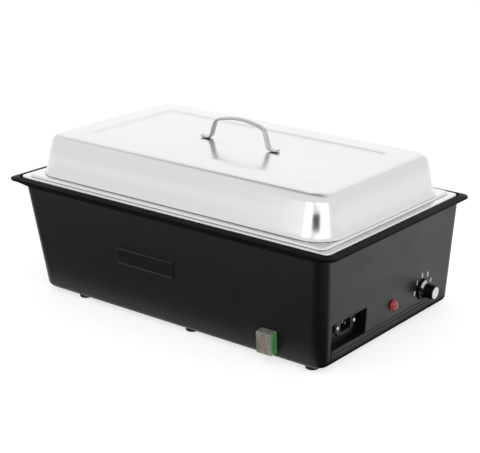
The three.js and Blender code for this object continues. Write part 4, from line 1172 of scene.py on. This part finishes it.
ROCKER_RADIUS = 11.7
ROCKER_LOW = math.radians(-18)
ROCKER_HIGH = math.radians(34)
ROCKER_STEPS = 12
ROCKER_KEEL = -5
ROCKER_DISH = 0.5
DISH_STEPS = 8
ROCKER_ENDS_AND_SHARES = ((-8.4, 0.93), (-8.1, 0.98), (-7.6, 1), (7.6, 1), (8.1, 0.98), (8.4, 0.93))
PIVOT = Matrix.Translation((0, 0, -1)) @ Matrix.Rotation(math.radians(7), 4, "X")


def rocker():
    """The rocker: round ends about its pivot and a shallow dished face, with softened edges."""
    arc = []
    for step in range(ROCKER_STEPS + 1):
        angle = ROCKER_LOW + (ROCKER_HIGH - ROCKER_LOW) * step / ROCKER_STEPS
        arc.append((ROCKER_RADIUS * math.cos(angle), ROCKER_RADIUS * math.sin(angle)))
    reach, top = arc[-1]
    face = []
    for step in range(1, DISH_STEPS):
        fall = ROCKER_DISH * math.sin(step / DISH_STEPS * math.pi)
        face.append((reach * (1 - 2 * step / DISH_STEPS), top - fall))
    line = [*arc, *face, *[(-y, z) for y, z in reversed(arc)], (0, ROCKER_KEEL)]
    rings = [[(x, y * share, z * share) for y, z in line] for x, share in ROCKER_ENDS_AND_SHARES]
    made = solid("rocker_cap", placed(skin(rings), SWITCH @ PIVOT))
    dress(made, "rocker", "green_plastic", ["switch_rocker"])


COVER = centred(26.4, 32.6, 2.9, 0)
COVER_TOP = 12.3
COVER_WALL = 1.1
COVER_DRAFT = 0.5
FACING = 0.7


def switch_cover():
    """The clear cover, a thin box with soft edges over bezel and rocker."""
    under = COVER_TOP - COVER_WALL
    outside = rounded((0.2, SEAM, 0), (0, SEAM, 0.1), (COVER_DRAFT, COVER_TOP, 1.5), (6, COVER_TOP, 0))
    inside = rounded((7, under, 0), (COVER_DRAFT + COVER_WALL, under, 0.7), (COVER_WALL, SEAM, 0))
    outlines = [drawn_in(COVER, inset, z) for inset, z in [*reversed(outside), *reversed(inside)]]
    made = solid("switch_hood", placed(loft(outlines, steps=SMALL_STEPS), SWITCH))
    looks = ["clear_plastic", "cover_front", "cover_side_painted_green"]
    dress(made, "root", "clear_plastic", ["switch_cover"], looks)
    # Faces that look out get a greyer, less clear copy; side faces get the copy with the rocker's green
    # painted in, standing in for the rocker seen through the clear sides
    out = SWITCH.to_quaternion() @ Vector((0, 0, 1))
    for face in made.data.polygons:
        if abs(face.normal.dot(out)) > FACING:
            face.material_index = looks.index("cover_front")
        elif abs(face.normal.x) > FACING:
            face.material_index = looks.index("cover_side_painted_green")


# Badge and feet

PLATE = centred(101.4, 23.6, 1, 0)
PLATE_EDGE = 1.6
PLATE_FACE = 1.25


def badge():
    """A bare black plate in a thin bright frame."""
    profile = rounded(
        (0.2, SEAM, 0),
        (0, PLATE_EDGE - 0.3, 0.2),
        (0.5, PLATE_EDGE, 0.25),
        (1.2, PLATE_EDGE, 0.25),
        (PLATE_EDGE, 1.2, 0),
        (PLATE_EDGE, SEAM, 0),
    )
    edge = [drawn_in(PLATE, inset, z) for inset, z in profile]
    rim = solid("badge_rim", placed(loft(edge, loop=True, steps=SMALL_STEPS), BADGE))
    dress(rim, "root", "badge_finish", looks=["badge_edge"])
    border = PLATE_EDGE + 0.05
    levels = ((border, SEAM), (border, PLATE_FACE - 0.1), (border + 0.25, PLATE_FACE), (8, PLATE_FACE))
    face = [drawn_in(PLATE, inset, z) for inset, z in levels]
    plate = solid("badge_face", placed(loft(face, steps=SMALL_STEPS), BADGE))
    dress(plate, "root", "badge_finish", ["badge_plate"])


FOOT_PLACES = {"left": -160, "middle": 43, "right": 246}
FOOT_SIDES = {"front": -152.6, "back": 152.6}
PAD_TOP = 4.9
PAD_NECK = 3.2


def feet():
    """Rubber feet with soft edges, a shallow hollow under each and a neck through the casing."""
    profile = rounded(
        (0, 0.5, 0),
        (5.2, 0.5, 0),
        (5.8, 0, 0.3),
        (9, 0, 0.8),
        (10, PAD_TOP, 0.6),
        (PAD_NECK, PAD_TOP, 0),
        (PAD_NECK, 8.5, 0),
        (4.3, 8.5, 0.2),
        (PAD_NECK, 10.9, 0.5),
        (0, 10.9, 0),
    )
    for side, y in FOOT_SIDES.items():
        for place, x in FOOT_PLACES.items():
            made = solid(f"foot_pad_{side}_{place}", placed(turned(profile, 48), shifted(x, y)))
            dress(made, "root", "rubber", [f"foot_{side}_{place}"])


# Camera, floor and light

CAMERA_AZIMUTH = math.radians(37.2)
CAMERA_ELEVATION = math.radians(18.6)
CAMERA_ROLL = math.radians(0.7)
CAMERA_PLACE = Vector((1148.4, -1501.7, 739.4)) * MM
CAMERA_LENS = 101.31
CAMERA_SENSOR = 36
CAMERA_CLIP = 50

FLOOR_REACH = 12
FLOOR_GREY = 0.55
FLOOR_GLOW = 0.7
WORLD_LIGHT = 0.7
WORLD_SEEN = 1.0


def camera():
    """The photo's viewpoint, fitted to the long edges of casing and flanges."""
    level = math.cos(CAMERA_ELEVATION)
    across, along = math.cos(CAMERA_AZIMUTH), math.sin(CAMERA_AZIMUTH)
    right = Vector((across, along, 0))
    back = Vector((along * level, -across * level, math.sin(CAMERA_ELEVATION)))
    up = back.cross(right)
    tilted_right = right * math.cos(CAMERA_ROLL) + up * math.sin(CAMERA_ROLL)
    tilted_up = up * math.cos(CAMERA_ROLL) - right * math.sin(CAMERA_ROLL)
    data = bpy.data.cameras.new("camera")
    data.lens = CAMERA_LENS
    data.sensor_width = CAMERA_SENSOR
    data.clip_end = CAMERA_CLIP
    made = linked("camera", data)
    matrix = Matrix((tilted_right, tilted_up, back)).transposed().to_4x4()
    matrix.translation = CAMERA_PLACE
    made.matrix_world = matrix
    bpy.context.scene.camera = made


def flat_sheet(name, corners):
    """One flat face through corners in metres."""
    mesh = bpy.data.meshes.new(name)
    mesh.from_pydata(corners, [], [tuple(range(len(corners)))])
    return linked(name, mesh)


def seen_rays(tree):
    """One for camera, glossy and transmitted rays, and zero for the light that falls on surfaces."""
    path = node(tree, "LightPath", {})
    seen = path.outputs["Is Camera Ray"]
    for name in ("Is Glossy Ray", "Is Transmission Ray"):
        seen = node(tree, "Math", {0: seen, 1: path.outputs[name]}, "MAXIMUM").outputs[0]
    return seen


def floor():
    """A pale floor that reads as white to the camera and keeps the object's shadow."""
    turns = ((-1, -1), (1, -1), (1, 1), (-1, 1))
    made = flat_sheet("floor", [(x * FLOOR_REACH, y * FLOOR_REACH, 0) for x, y in turns])
    material = bpy.data.materials.new("pale_floor")
    material.use_nodes = True
    tree = material.node_tree
    tree.nodes.clear()
    diffuse = node(tree, "BsdfDiffuse", {"Color": (FLOOR_GREY, FLOOR_GREY, FLOOR_GREY, 1)})
    share = node(tree, "Math", {0: seen_rays(tree), 1: FLOOR_GLOW}, "MULTIPLY")
    glow = node(tree, "Emission", {"Strength": share.outputs[0]})
    both = node(tree, "AddShader", {0: diffuse.outputs[0], 1: glow.outputs[0]})
    node(tree, "OutputMaterial", {"Surface": both.outputs[0]})
    made.data.materials.append(material)


def world():
    """Even light from all round; the camera sees it as white."""
    made = bpy.data.worlds.new("studio")
    bpy.context.scene.world = made
    made.use_nodes = True
    tree = made.node_tree
    background = tree.nodes["Background"]
    background.inputs["Color"].default_value = (1, 1, 1, 1)
    inputs = {"Value": seen_rays(tree), "To Min": WORLD_LIGHT, "To Max": WORLD_SEEN}
    strength = node(tree, "MapRange", inputs)
    tree.links.new(strength.outputs["Result"], background.inputs["Strength"])


def faded(surface, start, end):
    """Lets a card's surface fade out from its middle, between two shares of its half size."""
    place = {0: surface.coordinates.outputs["Generated"], 1: (2, 2, 0), 2: (-1, -1, 0)}
    around = node(surface.tree, "VectorMath", place, "MULTIPLY_ADD")
    far = node(surface.tree, "VectorMath", {0: around.outputs["Vector"]}, "LENGTH")
    inputs = {"Value": far.outputs["Value"], "From Min": start, "From Max": end, "To Min": 1, "To Max": 0}
    fade = node(surface.tree, "MapRange", inputs)
    fade.interpolation_type = "SMOOTHSTEP"
    surface.drive("Alpha", fade.outputs["Result"])


def card(name, corners, grey, fade=None):
    """A card out of the picture, seen only in reflections."""
    made = flat_sheet(name, corners)
    made.visible_camera = False
    made.visible_shadow = False
    made.visible_diffuse = False
    surface = Surface(name, (grey, grey, grey), 0.9).mottle(2, 0.1)
    if fade:
        faded(surface, *fade)
    made.data.materials.append(surface.material)


def raised(points, z):
    return [(x, y, z) for x, y in points]


def rectangle(left, right, near, far):
    return [(left, near), (right, near), (right, far), (left, far)]


CARD_LOW = 0.002
CARD_HIGH = 2.3
DARK = 0.01
FRONT_GREY = 0.3
OVERHEAD_GREY = 0.72
OVERHEAD_FADE = (0.1, 1)
END_WALL_FOOT = 0.262
FRONT_CARD = [(-0.75, -0.7), (0.17, -0.7), (END_WALL_FOOT, -0.2), (-0.75, -0.2)]
END_CARD = rectangle(END_WALL_FOOT, END_WALL_FOOT + 0.024, -0.17, 0.18)
OVERHEAD_CARD = rectangle(-2.8, 2, 1.1, -0.7)
CORNER_CARD = [(END_WALL_FOOT, -0.2), (0.17, -0.66), (0.7, -0.62), (0.85, -0.2)]
CORNER_CARD += [(0.545, 0.12), (0.29, -0.14)]
BESIDE_CAMERA = [(0.574, -2.209), (1.6, -1.7)]
BESIDE_CAMERA_HIGH = 0.45
STRIP_CARD = [(0.316, -0.584), *BESIDE_CAMERA, (0.54, -0.48)]


def cards():
    """Grey and dark cards that the walls, the lid's top and its near corner reflect."""
    card("card_in_front", raised(FRONT_CARD, CARD_LOW), FRONT_GREY)
    card("card_overhead", raised(OVERHEAD_CARD, CARD_HIGH), OVERHEAD_GREY, OVERHEAD_FADE)
    card("card_by_the_corner", raised(CORNER_CARD, CARD_LOW), DARK)
    card("card_under_the_end", raised(END_CARD, CARD_LOW), DARK)
    card("card_strip", raised(STRIP_CARD, 2 * CARD_LOW), DARK)
    upright = raised(BESIDE_CAMERA, 0) + raised(reversed(BESIDE_CAMERA), BESIDE_CAMERA_HIGH)
    card("card_beside_camera", upright, DARK)


def softbox(name, place, target, wide, tall, power, shape="ELLIPSE"):
    """An area light in metres and watts that points at the target."""
    data = bpy.data.lights.new(name, "AREA")
    data.shape = shape
    data.size = wide
    data.size_y = tall
    data.energy = power
    made = linked(name, data)
    made.location = place
    made.visible_camera = False
    way = Vector(target) - Vector(place)
    made.rotation_euler = way.to_track_quat("-Z", "Y").to_euler()


def softboxes():
    """Three soft ovals that the lid's walls and corner mirror, and a wide light from behind."""
    corner = (0.211, -0.1)
    centre = (0, 0)
    softbox("right", (0.866, -0.458, 0.28), (*corner, 0.28), wide=0.55, tall=0.5, power=0.4)
    softbox("front", (0.095, -0.839, 0.28), (*corner, 0.28), wide=0.58, tall=0.5, power=0.41)
    softbox("middle", (0.79, -0.93, 0.58), (*corner, 0.2), wide=0.62, tall=0.36, power=0.3)
    softbox("back", (-1.5, 2.1, 1.9), (*centre, 0.2), 3.4, 3.4, power=7, shape="RECTANGLE")


def main():
    dress_nodes()
    casing()
    trays()
    lid()
    handle()
    knob()
    dial_numbers()
    lamp()
    inlet_recess()
    inlet()
    inlet_screws()
    switch_frame()
    rocker()
    switch_cover()
    badge()
    feet()
    camera()
    floor()
    world()
    cards()
    softboxes()


main()

bpy.context.scene.view_settings.view_transform = "Standard"
